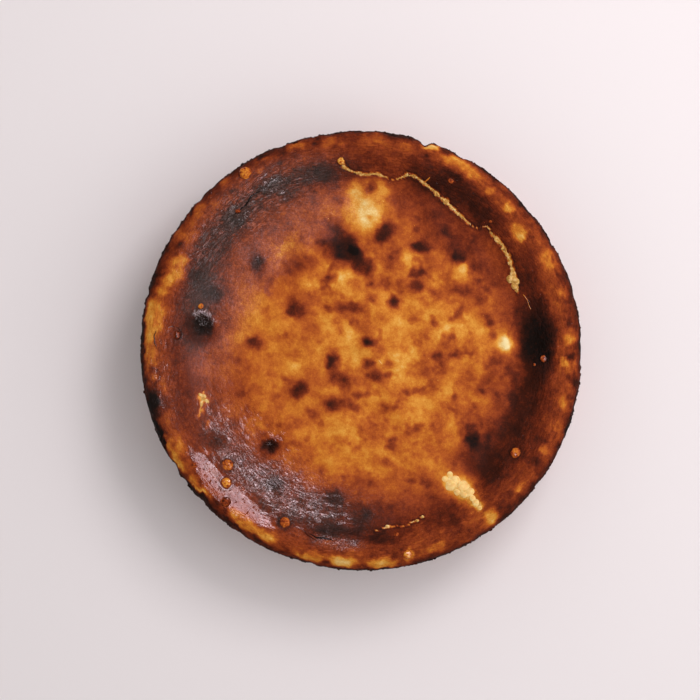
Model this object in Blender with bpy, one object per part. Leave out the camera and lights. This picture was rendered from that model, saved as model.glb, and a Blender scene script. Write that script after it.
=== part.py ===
"""A whole round cheesecake baked hot until its top scorches, with a raised rim round a sunken middle.

The cake is one solid. Its skin is a stack of closed rings joined into one mesh: the top from the
middle out to the rim, the rounded shoulder, the upright side and the flat underside. The cracks are
cut out of it and the blisters are joined to it. Lengths are in metres, +Z is up, and the origin is
the middle of the underside.
"""

import math
import random

import bmesh
import bpy
from mathutils import Matrix, Vector, noise

MM = 0.001

# The tin sets the width, and the depth of batter in it sets the height.
CAKE_RADIUS = 112 * MM
RIM_HEIGHT = 52 * MM

# The turned form, in order from the middle outwards.
DOME_RISE = 1.8 * MM
MOAT_RADIUS = 0.70 * CAKE_RADIUS
MOAT_DEPTH = 7.0 * MM
CREST_RADIUS = 0.925 * CAKE_RADIUS
SHOULDER_DROP = 9.0 * MM
WAIST = 1.0 * MM
FOOT_INSET = 1.6 * MM
FOOT_ROUND = 3.5 * MM

# How far a real one strays from a turned form.
OVALITY = 0.6 * MM
OVAL_TURN = math.radians(145)
RIM_WAVES = ((2, 0.7 * MM, 20), (3, 0.5 * MM, 75), (5, 0.35 * MM, 10), (9, 0.25 * MM, 160))
LUMP_SPACING = 17 * MM
LUMP_HEIGHT = 1.0 * MM
LUMP_FALLOFF = 1.0
LUMP_FINER = 2.0
LUMP_LAYERS = 2
CREASE_COUNT = 34
CREASE_DEPTH = (0.3 * MM, 0.9 * MM)
CREASE_WIDTH = (math.radians(1.6), math.radians(3.6))
CHIP_TURN = math.radians(72.7)
CHIP_WIDTH = math.radians(1.8)
CHIP_DEPTH = 1.5 * MM
CRAG_REACH = 0.4 * MM
CRAG_SPACING = 4.5 * MM
SEED = 9

# Spacing of the rings and of the points along them. The count halves where the points would crowd.
RING_POINTS = 168
TOP_RING_STEP = 3.8 * MM
LEAST_POINT_STEP = 2.6 * MM
FEWEST_POINTS = 6
SHOULDER_RINGS = 5
SIDE_RINGS = 6
FOOT_RINGS = 2

# Charred hollows as (x, y, radius, depth). The skin sinks where a blister burnt through.
HOLLOWS = (
    (-81 * MM, 13 * MM, 8 * MM, 1.1 * MM),
    (-9 * MM, 53 * MM, 9 * MM, 0.7 * MM),
    (56 * MM, -45 * MM, 6 * MM, 0.7 * MM),
    (-46 * MM, -48 * MM, 5 * MM, 0.8 * MM),
    (90 * MM, 6 * MM, 9 * MM, 0.8 * MM),
    (-30 * MM, -90 * MM, 8 * MM, 0.8 * MM),
)

# Bare curd that pushed up through the skin, as (x, y, half length, half width, turn, height).
CURD_SWELLS = (
    (51 * MM, -71 * MM, 12 * MM, 5 * MM, -40, 1.2 * MM),
    (74 * MM, 3.5 * MM, 6 * MM, 4 * MM, 100, 0.8 * MM),
    (4 * MM, 73 * MM, 12 * MM, 8 * MM, 95, 0.7 * MM),
)

# Round blisters standing on the skin, as (x, y, radius). Each is sunk by BLISTER_SINK of its radius.
BLISTER_SINK = 0.35
BLISTERS = (
    (-9.9 * MM, 96.3 * MM, 2.1 * MM),
    (-58.5 * MM, 89.8 * MM, 2.6 * MM),
    (-62.5 * MM, 71.2 * MM, 1.5 * MM),
    (-81.5 * MM, 22.8 * MM, 1.5 * MM),
    (-93.5 * MM, 8.0 * MM, 2.3 * MM),
    (-67.9 * MM, -58.1 * MM, 3.1 * MM),
    (-68.4 * MM, -67.0 * MM, 2.8 * MM),
    (-68.4 * MM, -76.3 * MM, 2.5 * MM),
    (-38.8 * MM, -87.0 * MM, 2.9 * MM),
    (92.7 * MM, -4.0 * MM, 1.9 * MM),
    (78.4 * MM, -51.8 * MM, 2.8 * MM),
    (45.5 * MM, 86.2 * MM, 1.6 * MM),
    (18.0 * MM, -93.2 * MM, 1.4 * MM),
    (23.5 * MM, -103.0 * MM, 2.2 * MM),
)

# The main crack follows the inner slope of the rim. Each row is (x, y) along it.
CRACK_ROUTE = (
    (-9.2 * MM, 92.8 * MM),
    (-5.0 * MM, 91.3 * MM),
    (0.5 * MM, 89.3 * MM),
    (8.5 * MM, 89.6 * MM),
    (13.5 * MM, 87.6 * MM),
    (18.4 * MM, 86.7 * MM),
    (24.1 * MM, 89.4 * MM),
    (28.5 * MM, 87.6 * MM),
    (35.3 * MM, 82.6 * MM),
    (43.6 * MM, 75.3 * MM),
    (49.0 * MM, 70.0 * MM),
    (55.6 * MM, 63.7 * MM),
    (59.8 * MM, 62.0 * MM),
    (63.9 * MM, 63.4 * MM),
    (66.3 * MM, 59.1 * MM),
    (71.2 * MM, 54.2 * MM),
    (74.4 * MM, 48.5 * MM),
    (77.0 * MM, 40.5 * MM),
    (78.1 * MM, 34.7 * MM),
    (79.3 * MM, 28.2 * MM),
)
LOWER_CRACK_ROUTE = (
    (7.1 * MM, -91.3 * MM),
    (14.3 * MM, -89.1 * MM),
    (22.5 * MM, -88.7 * MM),
    (28.2 * MM, -86.2 * MM),
    (31.4 * MM, -83.9 * MM),
)
LEFT_TEAR_ROUTE = (
    (-79.6 * MM, -20.5 * MM),
    (-80.8 * MM, -25.0 * MM),
    (-81.8 * MM, -32.0 * MM),
)
# Each crack as (route, width at the skin, depth).
CRACKS = (
    (CRACK_ROUTE, 2.2 * MM, 2.6 * MM),
    (LOWER_CRACK_ROUTE, 1.3 * MM, 1.4 * MM),
    (LEFT_TEAR_ROUTE, 3.0 * MM, 1.4 * MM),
)
CRACK_OVERCUT = 2.0 * MM
CRACK_END_FULLNESS = 0.35

SCORCHED_CRUST = (0.27, 0.085, 0.022, 1.0)
CRUST_ROUGHNESS = 0.42
SHARP_ANGLE = math.radians(50)


def ease(share):
    """0 to 1 with a level start and a level end."""
    share = min(1.0, max(0.0, share))
    return 0.5 - 0.5 * math.cos(math.pi * share)


def turned_height(radius):
    """Height of the turned top at a radius: dome, moat, inner slope and crest."""
    moat_height = RIM_HEIGHT - MOAT_DEPTH
    if radius <= MOAT_RADIUS:
        return moat_height + DOME_RISE * (1 - ease(radius / MOAT_RADIUS))
    climb = (radius - MOAT_RADIUS) / (CREST_RADIUS - MOAT_RADIUS)
    return moat_height + MOAT_DEPTH * ease(climb)


def rim_wave(angle):
    """How much higher or lower than its mean the rim stands at an angle."""
    return sum(
        height * math.cos(order * (angle - math.radians(turn))) for order, height, turn in RIM_WAVES
    )


def lump(x, y):
    """Low unevenness of the baked skin."""
    place = Vector((x, y, 0.0)) / LUMP_SPACING
    return LUMP_HEIGHT * noise.fractal(place, LUMP_FALLOFF, LUMP_FINER, LUMP_LAYERS)


def mark(x, y, mark_x, mark_y, half_length, half_width, turn):
    """1 in the middle of an oval mark, easing to 0 at its edge and beyond."""
    angle = math.radians(turn)
    along = (x - mark_x) * math.cos(angle) + (y - mark_y) * math.sin(angle)
    across = (y - mark_y) * math.cos(angle) - (x - mark_x) * math.sin(angle)
    return 1 - ease(math.hypot(along / half_length, across / half_width))


def skin_height(x, y):
    """Height of the uncracked top at any point inside the crest."""
    radius = math.hypot(x, y)
    towards_rim = ease(radius / CREST_RADIUS) ** 2
    height = turned_height(radius) + towards_rim * rim_wave(math.atan2(y, x)) + lump(x, y)
    for hollow_x, hollow_y, hollow_radius, depth in HOLLOWS:
        height -= depth * mark(x, y, hollow_x, hollow_y, hollow_radius, hollow_radius, 0)
    for swell_x, swell_y, half_length, half_width, turn, rise in CURD_SWELLS:
        height += rise * mark(x, y, swell_x, swell_y, half_length, half_width, turn)
    return height


def made_creases():
    """The upright creases of the side, as (angle, half width, depth)."""
    draw = random.Random(SEED)
    return [
        (
            draw.uniform(-math.pi, math.pi),
            draw.uniform(*CREASE_WIDTH),
            draw.uniform(*CREASE_DEPTH),
        )
        for _ in range(CREASE_COUNT)
    ]


def apart(angle, other):
    """The angle between two directions, without its sign."""
    return abs(math.remainder(angle - other, math.tau))


def edge_radius(angle, creases):
    """Radius of the cake's edge at an angle: oval, creased and chipped."""
    radius = CAKE_RADIUS + OVALITY * math.cos(2 * (angle - OVAL_TURN))
    for crease_angle, half_width, depth in creases:
        radius -= depth * (1 - ease(apart(angle, crease_angle) / half_width))
    radius -= CHIP_DEPTH * (1 - ease(apart(angle, CHIP_TURN) / CHIP_WIDTH))
    return radius


def crag(x, y, z):
    """Roughness of the crust where it met the tin."""
    return CRAG_REACH * noise.noise(Vector((x, y, z)) / CRAG_SPACING)


def ring(count, place):
    """A ring of points, where place gives the point at an angle."""
    return [place(math.tau * step / count) for step in range(count)]


def top_ring(radius, count):
    """One ring of the top, inside the crest."""

    def place(angle):
        x, y = radius * math.cos(angle), radius * math.sin(angle)
        return Vector((x, y, skin_height(x, y)))

    return ring(count, place)


def shoulder_ring(share, creases):
    """One ring of the quarter-round shoulder, from the crest at 0 to the side at 1."""
    turn = share * math.pi / 2

    def place(angle):
        crest = Vector((CREST_RADIUS * math.cos(angle), CREST_RADIUS * math.sin(angle), 0))
        edge = edge_radius(angle, creases)
        radius = CREST_RADIUS + (edge - CREST_RADIUS) * math.sin(turn)
        height = skin_height(crest.x, crest.y) - SHOULDER_DROP * (1 - math.cos(turn))
        x, y = radius * math.cos(angle), radius * math.sin(angle)
        rough = share * crag(x, y, height)
        return Vector((x * (1 + rough / radius), y * (1 + rough / radius), height))

    return ring(RING_POINTS, place)


def side_ring(share, creases):
    """One ring of the side, from under the shoulder at 0 to the foot's rounding at 1."""

    def place(angle):
        crest_height = skin_height(CREST_RADIUS * math.cos(angle), CREST_RADIUS * math.sin(angle))
        top = crest_height - SHOULDER_DROP
        height = top + (FOOT_ROUND - top) * share
        waist = WAIST * math.sin(math.pi * share)
        radius = edge_radius(angle, creases) - waist - FOOT_INSET * share
        x, y = radius * math.cos(angle), radius * math.sin(angle)
        radius += crag(x, y, height)
        return Vector((radius * math.cos(angle), radius * math.sin(angle), height))

    return ring(RING_POINTS, place)


def foot_ring(share, creases):
    """One ring of the rounded foot, from the side at 0 to the flat underside at 1."""
    turn = share * math.pi / 2

    def place(angle):
        radius = edge_radius(angle, creases) - FOOT_INSET - FOOT_ROUND * (1 - math.cos(turn))
        height = FOOT_ROUND * (1 - math.sin(turn))
        radius += (1 - share) * crag(
            radius * math.cos(angle), radius * math.sin(angle), height
        )
        return Vector((radius * math.cos(angle), radius * math.sin(angle), height))

    return ring(RING_POINTS, place)


def points_at(radius):
    """How many points a ring of the top has, halved until they don't crowd."""
    count = RING_POINTS
    while math.tau * radius / count < LEAST_POINT_STEP and count % 2 == 0 and count > FEWEST_POINTS:
        count //= 2
    return count


def cake_rings():
    """All rings of the cake's skin, from the inmost of the top to the edge of the underside."""
    creases = made_creases()
    top_count = round(CREST_RADIUS / TOP_RING_STEP)
    rings = []
    for step in range(1, top_count + 1):
        radius = CREST_RADIUS * step / top_count
        rings.append(top_ring(radius, points_at(radius)))
    rings += [shoulder_ring((k + 1) / SHOULDER_RINGS, creases) for k in range(SHOULDER_RINGS)]
    rings += [side_ring((k + 1) / SIDE_RINGS, creases) for k in range(SIDE_RINGS)]
    rings += [foot_ring((k + 1) / FOOT_RINGS, creases) for k in range(FOOT_RINGS)]
    return rings


def join_rings(mesh, inner, outer):
    """Faces between two rings. The outer has as many points as the inner, or a whole multiple."""
    times = len(outer) // len(inner)
    for index, corner in enumerate(inner):
        after = inner[(index + 1) % len(inner)]
        arc = [outer[(index * times + k) % len(outer)] for k in range(times + 1)]
        middle = times // 2
        if times == 1:
            mesh.faces.new((corner, arc[0], arc[1], after))
            continue
        for k in range(times):
            mesh.faces.new((corner if k < middle else after, arc[k], arc[k + 1]))
        mesh.faces.new((corner, arc[middle], after))


def add_object(name, mesh):
    """Puts a bmesh into the scene as an object and frees it."""
    bmesh.ops.recalc_face_normals(mesh, faces=mesh.faces)
    data = bpy.data.meshes.new(name)
    mesh.to_mesh(data)
    mesh.free()
    made = bpy.data.objects.new(name, data)
    bpy.context.scene.collection.objects.link(made)
    return made


def whole_cake():
    """The uncracked cake."""
    mesh = bmesh.new()
    middle = mesh.verts.new((0.0, 0.0, skin_height(0.0, 0.0)))
    rings = [[mesh.verts.new(point) for point in points] for points in cake_rings()]
    first = rings[0]
    for index, corner in enumerate(first):
        mesh.faces.new((middle, corner, first[(index + 1) % len(first)]))
    for inner, outer in zip(rings, rings[1:]):
        join_rings(mesh, inner, outer)
    mesh.faces.new(rings[-1])
    return add_object("cheesecake", mesh)


def crack_cutter(route, width, depth):
    """A wedge along a crack, narrowing to both ends, from above the skin down into it."""
    mesh = bmesh.new()
    sections = []
    last = len(route) - 1
    for index, (x, y) in enumerate(route):
        before, after = route[max(0, index - 1)], route[min(last, index + 1)]
        along = Vector((after[0] - before[0], after[1] - before[1], 0)).normalized()
        across = Vector((-along.y, along.x, 0))
        swell = math.sin(math.pi * (index + 0.5) / (last + 1))
        fullness = CRACK_END_FULLNESS + (1 - CRACK_END_FULLNESS) * swell
        skin = Vector((x, y, skin_height(x, y)))
        half = across * (width / 2 * fullness)
        flare = half * (1 + CRACK_OVERCUT / (depth * fullness))
        above = Vector((0, 0, CRACK_OVERCUT))
        below = Vector((0, 0, depth * fullness))
        corners = (skin + above + flare, skin + above - flare, skin - below)
        sections.append([mesh.verts.new(corner) for corner in corners])
    for near, far in zip(sections, sections[1:]):
        for k in range(3):
            mesh.faces.new((near[k], near[(k + 1) % 3], far[(k + 1) % 3], far[k]))
    mesh.faces.new(sections[0])
    mesh.faces.new(sections[-1])
    return add_object("crack_cutter", mesh)


def blister(x, y, radius):
    """A blister as a small ball, part sunk in the skin."""
    mesh = bmesh.new()
    height = skin_height(x, y) - BLISTER_SINK * radius
    place = Matrix.Translation((x, y, height))
    bmesh.ops.create_icosphere(mesh, subdivisions=2, radius=radius, matrix=place)
    return add_object("blister", mesh)


def combine(body, helpers, operation):
    """Joins the helpers to the body or cuts them out of it, then removes them."""
    group = bpy.data.collections.new("helpers")
    bpy.context.scene.collection.children.link(group)
    for helper in helpers:
        bpy.context.scene.collection.objects.unlink(helper)
        group.objects.link(helper)
    modifier = body.modifiers.new(operation.lower(), "BOOLEAN")
    modifier.operation = operation
    modifier.operand_type = "COLLECTION"
    modifier.collection = group
    modifier.solver = "EXACT"
    bpy.context.view_layer.update()
    graph = bpy.context.evaluated_depsgraph_get()
    result = bpy.data.meshes.new_from_object(body.evaluated_get(graph))
    body.modifiers.remove(modifier)
    body.data = result
    for helper in helpers:
        bpy.data.objects.remove(helper)
    bpy.data.collections.remove(group)


def crust_material():
    """Dark caramelised milk skin, with a soft shine."""
    material = bpy.data.materials.new("scorched_crust")
    material.use_nodes = True
    surface = material.node_tree.nodes["Principled BSDF"]
    surface.inputs["Base Color"].default_value = SCORCHED_CRUST
    surface.inputs["Roughness"].default_value = CRUST_ROUGHNESS
    surface.inputs["Metallic"].default_value = 0.0
    return material


def main():
    """Builds the cheesecake in an empty scene."""
    for old in list(bpy.data.objects):
        bpy.data.objects.remove(old)
    cake = whole_cake()
    combine(cake, [blister(*each) for each in BLISTERS], "UNION")
    combine(cake, [crack_cutter(*each) for each in CRACKS], "DIFFERENCE")
    cake.data.materials.clear()
    cake.data.materials.append(crust_material())
    cake.data.shade_smooth()
    cake.data.set_sharp_from_angle(angle=SHARP_ANGLE)


main()
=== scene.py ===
"""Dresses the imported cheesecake: a whole cake baked so hot that its top scorched and its rim split.

The frame gives one solid. A finer skin of the same form stands for it, and each point of that skin
says how far it browned, how much it glistens and how deeply it wrinkled. The curd in the splits, the
blisters, the char flakes and the crumbs are pieces of their own, grown by Geometry Nodes.

Lengths are metres and +Z is up. +X is the photograph's right and +Y its top.
"""

from __future__ import annotations

import logging
import math
import random
from collections.abc import Callable
from dataclasses import dataclass, field
from enum import Enum

import bmesh
import bpy
import numpy as np
from mathutils import Matrix, Vector, noise

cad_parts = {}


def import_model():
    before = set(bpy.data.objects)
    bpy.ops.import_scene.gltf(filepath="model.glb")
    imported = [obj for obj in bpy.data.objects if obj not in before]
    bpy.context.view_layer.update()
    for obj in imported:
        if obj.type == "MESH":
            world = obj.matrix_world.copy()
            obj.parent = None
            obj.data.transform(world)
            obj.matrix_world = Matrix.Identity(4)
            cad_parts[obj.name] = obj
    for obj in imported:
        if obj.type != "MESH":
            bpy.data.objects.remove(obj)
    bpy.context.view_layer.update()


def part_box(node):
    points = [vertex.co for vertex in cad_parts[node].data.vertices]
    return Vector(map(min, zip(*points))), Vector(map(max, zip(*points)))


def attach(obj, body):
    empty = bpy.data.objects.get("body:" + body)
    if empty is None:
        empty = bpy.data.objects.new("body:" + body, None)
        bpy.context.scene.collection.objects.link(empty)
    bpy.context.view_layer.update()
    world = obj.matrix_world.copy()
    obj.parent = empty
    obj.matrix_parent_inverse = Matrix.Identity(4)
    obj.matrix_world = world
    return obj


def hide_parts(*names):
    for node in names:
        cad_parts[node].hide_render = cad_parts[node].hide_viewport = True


MM = 0.001
NODE = "cheesecake"
BODY = "root"
BAKE_MAP = "OFBake"

log = logging.getLogger("cheesecake")


class Browning(Enum):
    """How far a skin of milk, egg and sugar has browned: its place from 0 to 1, and its colour."""

    CURD = (0.00, "#F6E2A6")
    STRAW = (0.12, "#E6BA6A")
    GOLD = (0.23, "#DE9A3C")
    HONEY = (0.33, "#CC7A28")
    AMBER = (0.43, "#B35A20")
    RUSSET = (0.54, "#923F1A")
    MAROON = (0.66, "#6A2812")
    SCORCHED = (0.80, "#3F190D")
    CHARRED = (1.00, "#150D09")

    @property
    def level(self) -> float:
        """Its place on the scale."""
        return self.value[0]

    @property
    def colour(self) -> str:
        """Its colour in sRGB."""
        return self.value[1]


@dataclass(frozen=True)
class Patch:
    """An oval patch that browned more or less than the skin round it. Sizes are in millimetres."""

    x: float
    y: float
    half_length: float
    half_width: float
    turn: float
    browning: Browning
    strength: float = 1.0
    softness: float = 0.95


@dataclass(frozen=True)
class Arc:
    """A patch that follows the rim: angle and spread in degrees, radius and width in millimetres."""

    angle: float
    radius: float
    half_spread: float
    half_width: float
    browning: Browning
    strength: float = 1.0
    softness: float = 0.95


@dataclass(frozen=True)
class Stretch:
    """A stretch of the top: middle and half spread in degrees, radius and half width in millimetres."""

    angle: float
    half_spread: float
    radius: float
    half_width: float
    core: float = 0.3

    def weight(self, angle: np.ndarray, radius: np.ndarray) -> np.ndarray:
        """1 in the core of the stretch, easing to 0 at its edge."""
        turned = apart(angle, math.radians(self.angle)) / math.radians(self.half_spread)
        across = (radius - self.radius * MM) / (self.half_width * MM)
        return 1 - ease((np.hypot(turned, across) - self.core) / (1 - self.core))


@dataclass(frozen=True)
class CharStrip:
    """Where the char of the side reaches in over the shoulder: degrees, and millimetres seen from above."""

    angle: float
    half_spread: float
    reach: float


@dataclass(frozen=True)
class Split:
    """A split in the skin with curd in it, in millimetres. Each row of the route is x, y and width."""

    name: str
    route: tuple[tuple[float, float, float], ...]
    depth: float
    sway: float
    toasting: float
    lumps: tuple[tuple[float, float, float], ...] = ()


# Broad tone of the ring round the sunken middle, from the scorched slope to the rim's shoulder.
RING_TONES = (
    Arc(97, 92, 15, 9, Browning.SCORCHED, 0.50),
    Arc(110, 93, 10, 7, Browning.CHARRED, 0.40),
    Arc(122, 95, 9, 7, Browning.SCORCHED, 0.60),
    Arc(134, 93, 10, 9, Browning.CHARRED, 0.45),
    Arc(148, 90, 12, 10, Browning.SCORCHED, 0.70),
    Arc(160, 86, 12, 12, Browning.CHARRED, 0.55),
    Arc(140, 76, 34, 10, Browning.MAROON, 0.45),
    Arc(183, 89, 9, 6, Browning.MAROON, 0.75),
    Arc(196, 91, 10, 9, Browning.MAROON, 0.85),
    Arc(205, 88, 10, 9, Browning.MAROON, 0.80),
    Arc(216, 82, 10, 9, Browning.MAROON, 0.90),
    Arc(213, 84, 5, 5, Browning.SCORCHED, 0.70),
    Arc(226, 92, 14, 9, Browning.RUSSET, 0.75),
    Arc(232, 84, 10, 8, Browning.MAROON, 0.80),
    Arc(244, 86, 12, 12, Browning.SCORCHED, 0.75),
    Arc(246, 84, 8, 8, Browning.CHARRED, 0.55),
    Arc(256, 84, 14, 13, Browning.SCORCHED, 0.92),
    Arc(272, 88, 14, 10, Browning.SCORCHED, 0.85),
    Arc(287, 90, 12, 7, Browning.MAROON, 0.85),
    Arc(298, 94, 10, 8, Browning.SCORCHED, 0.60),
    Arc(316, 87, 12, 13, Browning.SCORCHED, 0.80),
    Arc(328, 88, 12, 14, Browning.SCORCHED, 0.80),
    Arc(343, 88, 14, 12, Browning.SCORCHED, 0.90),
    Arc(0, 90, 12, 10, Browning.CHARRED, 0.80),
    Arc(9, 90, 10, 11, Browning.CHARRED, 0.70),
    Arc(22, 78, 13, 12, Browning.RUSSET, 0.80),
    Arc(24, 92, 11, 9, Browning.SCORCHED, 0.65),
    Arc(38, 77, 16, 13, Browning.MAROON, 0.80),
    Arc(36, 96, 10, 7, Browning.MAROON, 0.90),
    Arc(52, 77, 17, 14, Browning.MAROON, 0.92),
    Arc(64, 80, 9, 8, Browning.MAROON, 0.75),
    Arc(52, 93, 12, 9, Browning.SCORCHED, 0.90),
    Arc(66, 92, 11, 9, Browning.SCORCHED, 0.95),
    Arc(77, 82, 8, 7, Browning.MAROON, 0.70),
    Arc(78, 97, 10, 9, Browning.MAROON, 0.85),
    Arc(92, 102, 14, 7, Browning.MAROON, 0.75),
    Arc(120, 106, 26, 9, Browning.MAROON, 0.62),
    Arc(149, 109, 6, 3.6, Browning.RUSSET, 0.85),
    Arc(108, 108.5, 3.2, 2.8, Browning.AMBER, 0.95, 0.7),
    Arc(116, 109.0, 2.2, 2.0, Browning.RUSSET, 0.90),
    Arc(129, 110.0, 2.0, 2.6, Browning.AMBER, 0.85),
    Arc(139, 108.5, 2.8, 3.6, Browning.AMBER, 0.90),
    Arc(236, 82, 22, 13, Browning.MAROON, 0.90),
    Arc(229, 84, 15, 9, Browning.SCORCHED, 0.50),
    Arc(222, 96, 16, 7, Browning.MAROON, 0.60),
    Arc(10, 103, 40, 5, Browning.RUSSET, 0.85),
    Arc(334, 102, 22, 7, Browning.MAROON, 0.70),
    Arc(302, 101, 16, 8, Browning.MAROON, 0.50),
    Arc(300, 108.5, 12, 3.4, Browning.RUSSET, 0.7),
)

# The shoulder outside the crest, where the sugar ran golden in patches.
RIM_TONES = (
    Arc(191, 106, 8, 8, Browning.SCORCHED, 0.45),
    Arc(171, 105.5, 6.5, 7.0, Browning.HONEY, 0.95),
    Arc(170, 108.5, 5.0, 3.2, Browning.GOLD, 1.0),
    Arc(177, 107.5, 4.0, 3.0, Browning.GOLD, 0.75),
    Arc(163, 104.5, 2.2, 5.0, Browning.GOLD, 0.80),
    Arc(156.5, 101.5, 5.0, 6.5, Browning.HONEY, 1.0),
    Arc(152.8, 101.3, 2.6, 4.0, Browning.GOLD, 0.9),
    Arc(160, 104.5, 2.4, 3.4, Browning.GOLD, 0.8),
    Arc(146, 103.0, 3.0, 4.0, Browning.AMBER, 0.8),
    Arc(182, 107, 6.0, 4.0, Browning.AMBER, 0.95),
    Arc(185, 106.5, 4.4, 3.6, Browning.HONEY, 0.9),
    Arc(190, 101.5, 3.0, 3.5, Browning.AMBER, 0.8),
    Arc(208, 104.5, 9, 4.5, Browning.AMBER, 0.9),
    Arc(119.5, 104.5, 1.7, 1.8, Browning.AMBER, 0.9),
    Arc(97, 106.5, 5.0, 3.0, Browning.AMBER, 0.6),
    Arc(62, 105.5, 8.0, 5.4, Browning.HONEY, 1.0),
    Arc(63, 106.5, 5.0, 3.0, Browning.GOLD, 0.75),
    Arc(71, 109.5, 3.4, 2.8, Browning.GOLD, 1.0),
    Arc(73, 110.6, 1.5, 1.8, Browning.STRAW, 1.0),
    Arc(51, 103.5, 2.4, 3.4, Browning.HONEY, 0.8),
    Arc(44, 104.0, 2.2, 4.0, Browning.HONEY, 1.0),
    Arc(43.5, 103.0, 1.3, 2.4, Browning.GOLD, 0.7),
    Arc(37, 100.0, 3.6, 5.0, Browning.HONEY, 1.0),
    Arc(35.2, 99.0, 2.2, 3.4, Browning.GOLD, 0.9),
    Arc(26, 105.0, 4.4, 4.6, Browning.AMBER, 1.0),
    Arc(27, 106.0, 2.0, 3.0, Browning.HONEY, 0.9),
    Arc(15, 106.0, 3.0, 3.4, Browning.AMBER, 0.8),
    Arc(3, 105.0, 2.2, 3.4, Browning.HONEY, 0.95),
    Arc(-3, 103.0, 2.0, 3.0, Browning.HONEY, 0.95),
    Arc(-14, 105.5, 3.0, 3.0, Browning.AMBER, 0.7),
    Arc(-28, 104.5, 2.2, 4.0, Browning.HONEY, 0.70),
    Arc(-41, 105.0, 3.0, 2.6, Browning.AMBER, 0.85),
    Arc(-52, 106.5, 3.2, 4.4, Browning.HONEY, 0.95),
    Arc(-52.2, 107.0, 1.9, 3.0, Browning.GOLD, 0.90),
    Arc(-58, 103.0, 3.0, 4.0, Browning.RUSSET, 0.8),
    Arc(-69, 106.5, 3.5, 3.4, Browning.HONEY, 0.9),
    Arc(-77, 106.0, 1.8, 4.0, Browning.GOLD, 0.9),
    Arc(-77, 104.5, 0.9, 1.6, Browning.CURD, 0.8),
    Arc(-84, 108.0, 6.0, 4.0, Browning.HONEY, 1.0),
    Arc(-85, 108.5, 4.0, 2.8, Browning.GOLD, 0.95),
    Arc(-95, 107.5, 5.0, 4.2, Browning.GOLD, 0.95),
    Arc(-95, 108.0, 2.4, 2.4, Browning.CURD, 0.45),
    Arc(-104, 107.0, 6.0, 4.0, Browning.HONEY, 0.95),
    Arc(-106, 107.6, 3.0, 2.4, Browning.GOLD, 0.85),
    Arc(-117.5, 105.8, 4.0, 4.0, Browning.GOLD, 0.75),
    Arc(-118.5, 105.8, 1.8, 2.0, Browning.STRAW, 0.5),
    Arc(-127.5, 104.0, 3.5, 3.5, Browning.HONEY, 0.9),
    Arc(-123, 105.5, 5.4, 4.0, Browning.HONEY, 1.0),
    Arc(-121, 106.0, 3.0, 2.2, Browning.GOLD, 0.85),
    Arc(-132, 108.5, 4.4, 5.0, Browning.SCORCHED, 1.0),
    Arc(-140.5, 107.6, 4.6, 4.2, Browning.HONEY, 1.0),
    Arc(-140.5, 108.2, 3.4, 3.0, Browning.GOLD, 1.0),
    Arc(-138, 107.6, 1.4, 1.5, Browning.CURD, 0.5),
    Arc(-149, 108.3, 4.6, 3.4, Browning.GOLD, 1.0),
    Arc(-155, 109.0, 3.4, 2.8, Browning.HONEY, 1.0),
    Arc(-165, 109.5, 5.0, 5.5, Browning.CHARRED, 0.9),
    Arc(-174, 107.5, 4.0, 4.0, Browning.AMBER, 0.8),
)

CHAR_STRIPS = (
    CharStrip(81, 5, 1.2),
    CharStrip(112, 6, 0.3),
    CharStrip(152, 6, 0.5),
    CharStrip(164, 5, 0.4),
    CharStrip(179, 8, 1.7),
    CharStrip(190, 9, 1.0),
    CharStrip(202, 7, 2.8),
    CharStrip(222, 7, 2.6),
    CharStrip(232, 8, 2.6),
    CharStrip(270, 14, 0.3),
    CharStrip(341, 8, 0.4),
    CharStrip(4, 9, 0.3),
)

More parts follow.
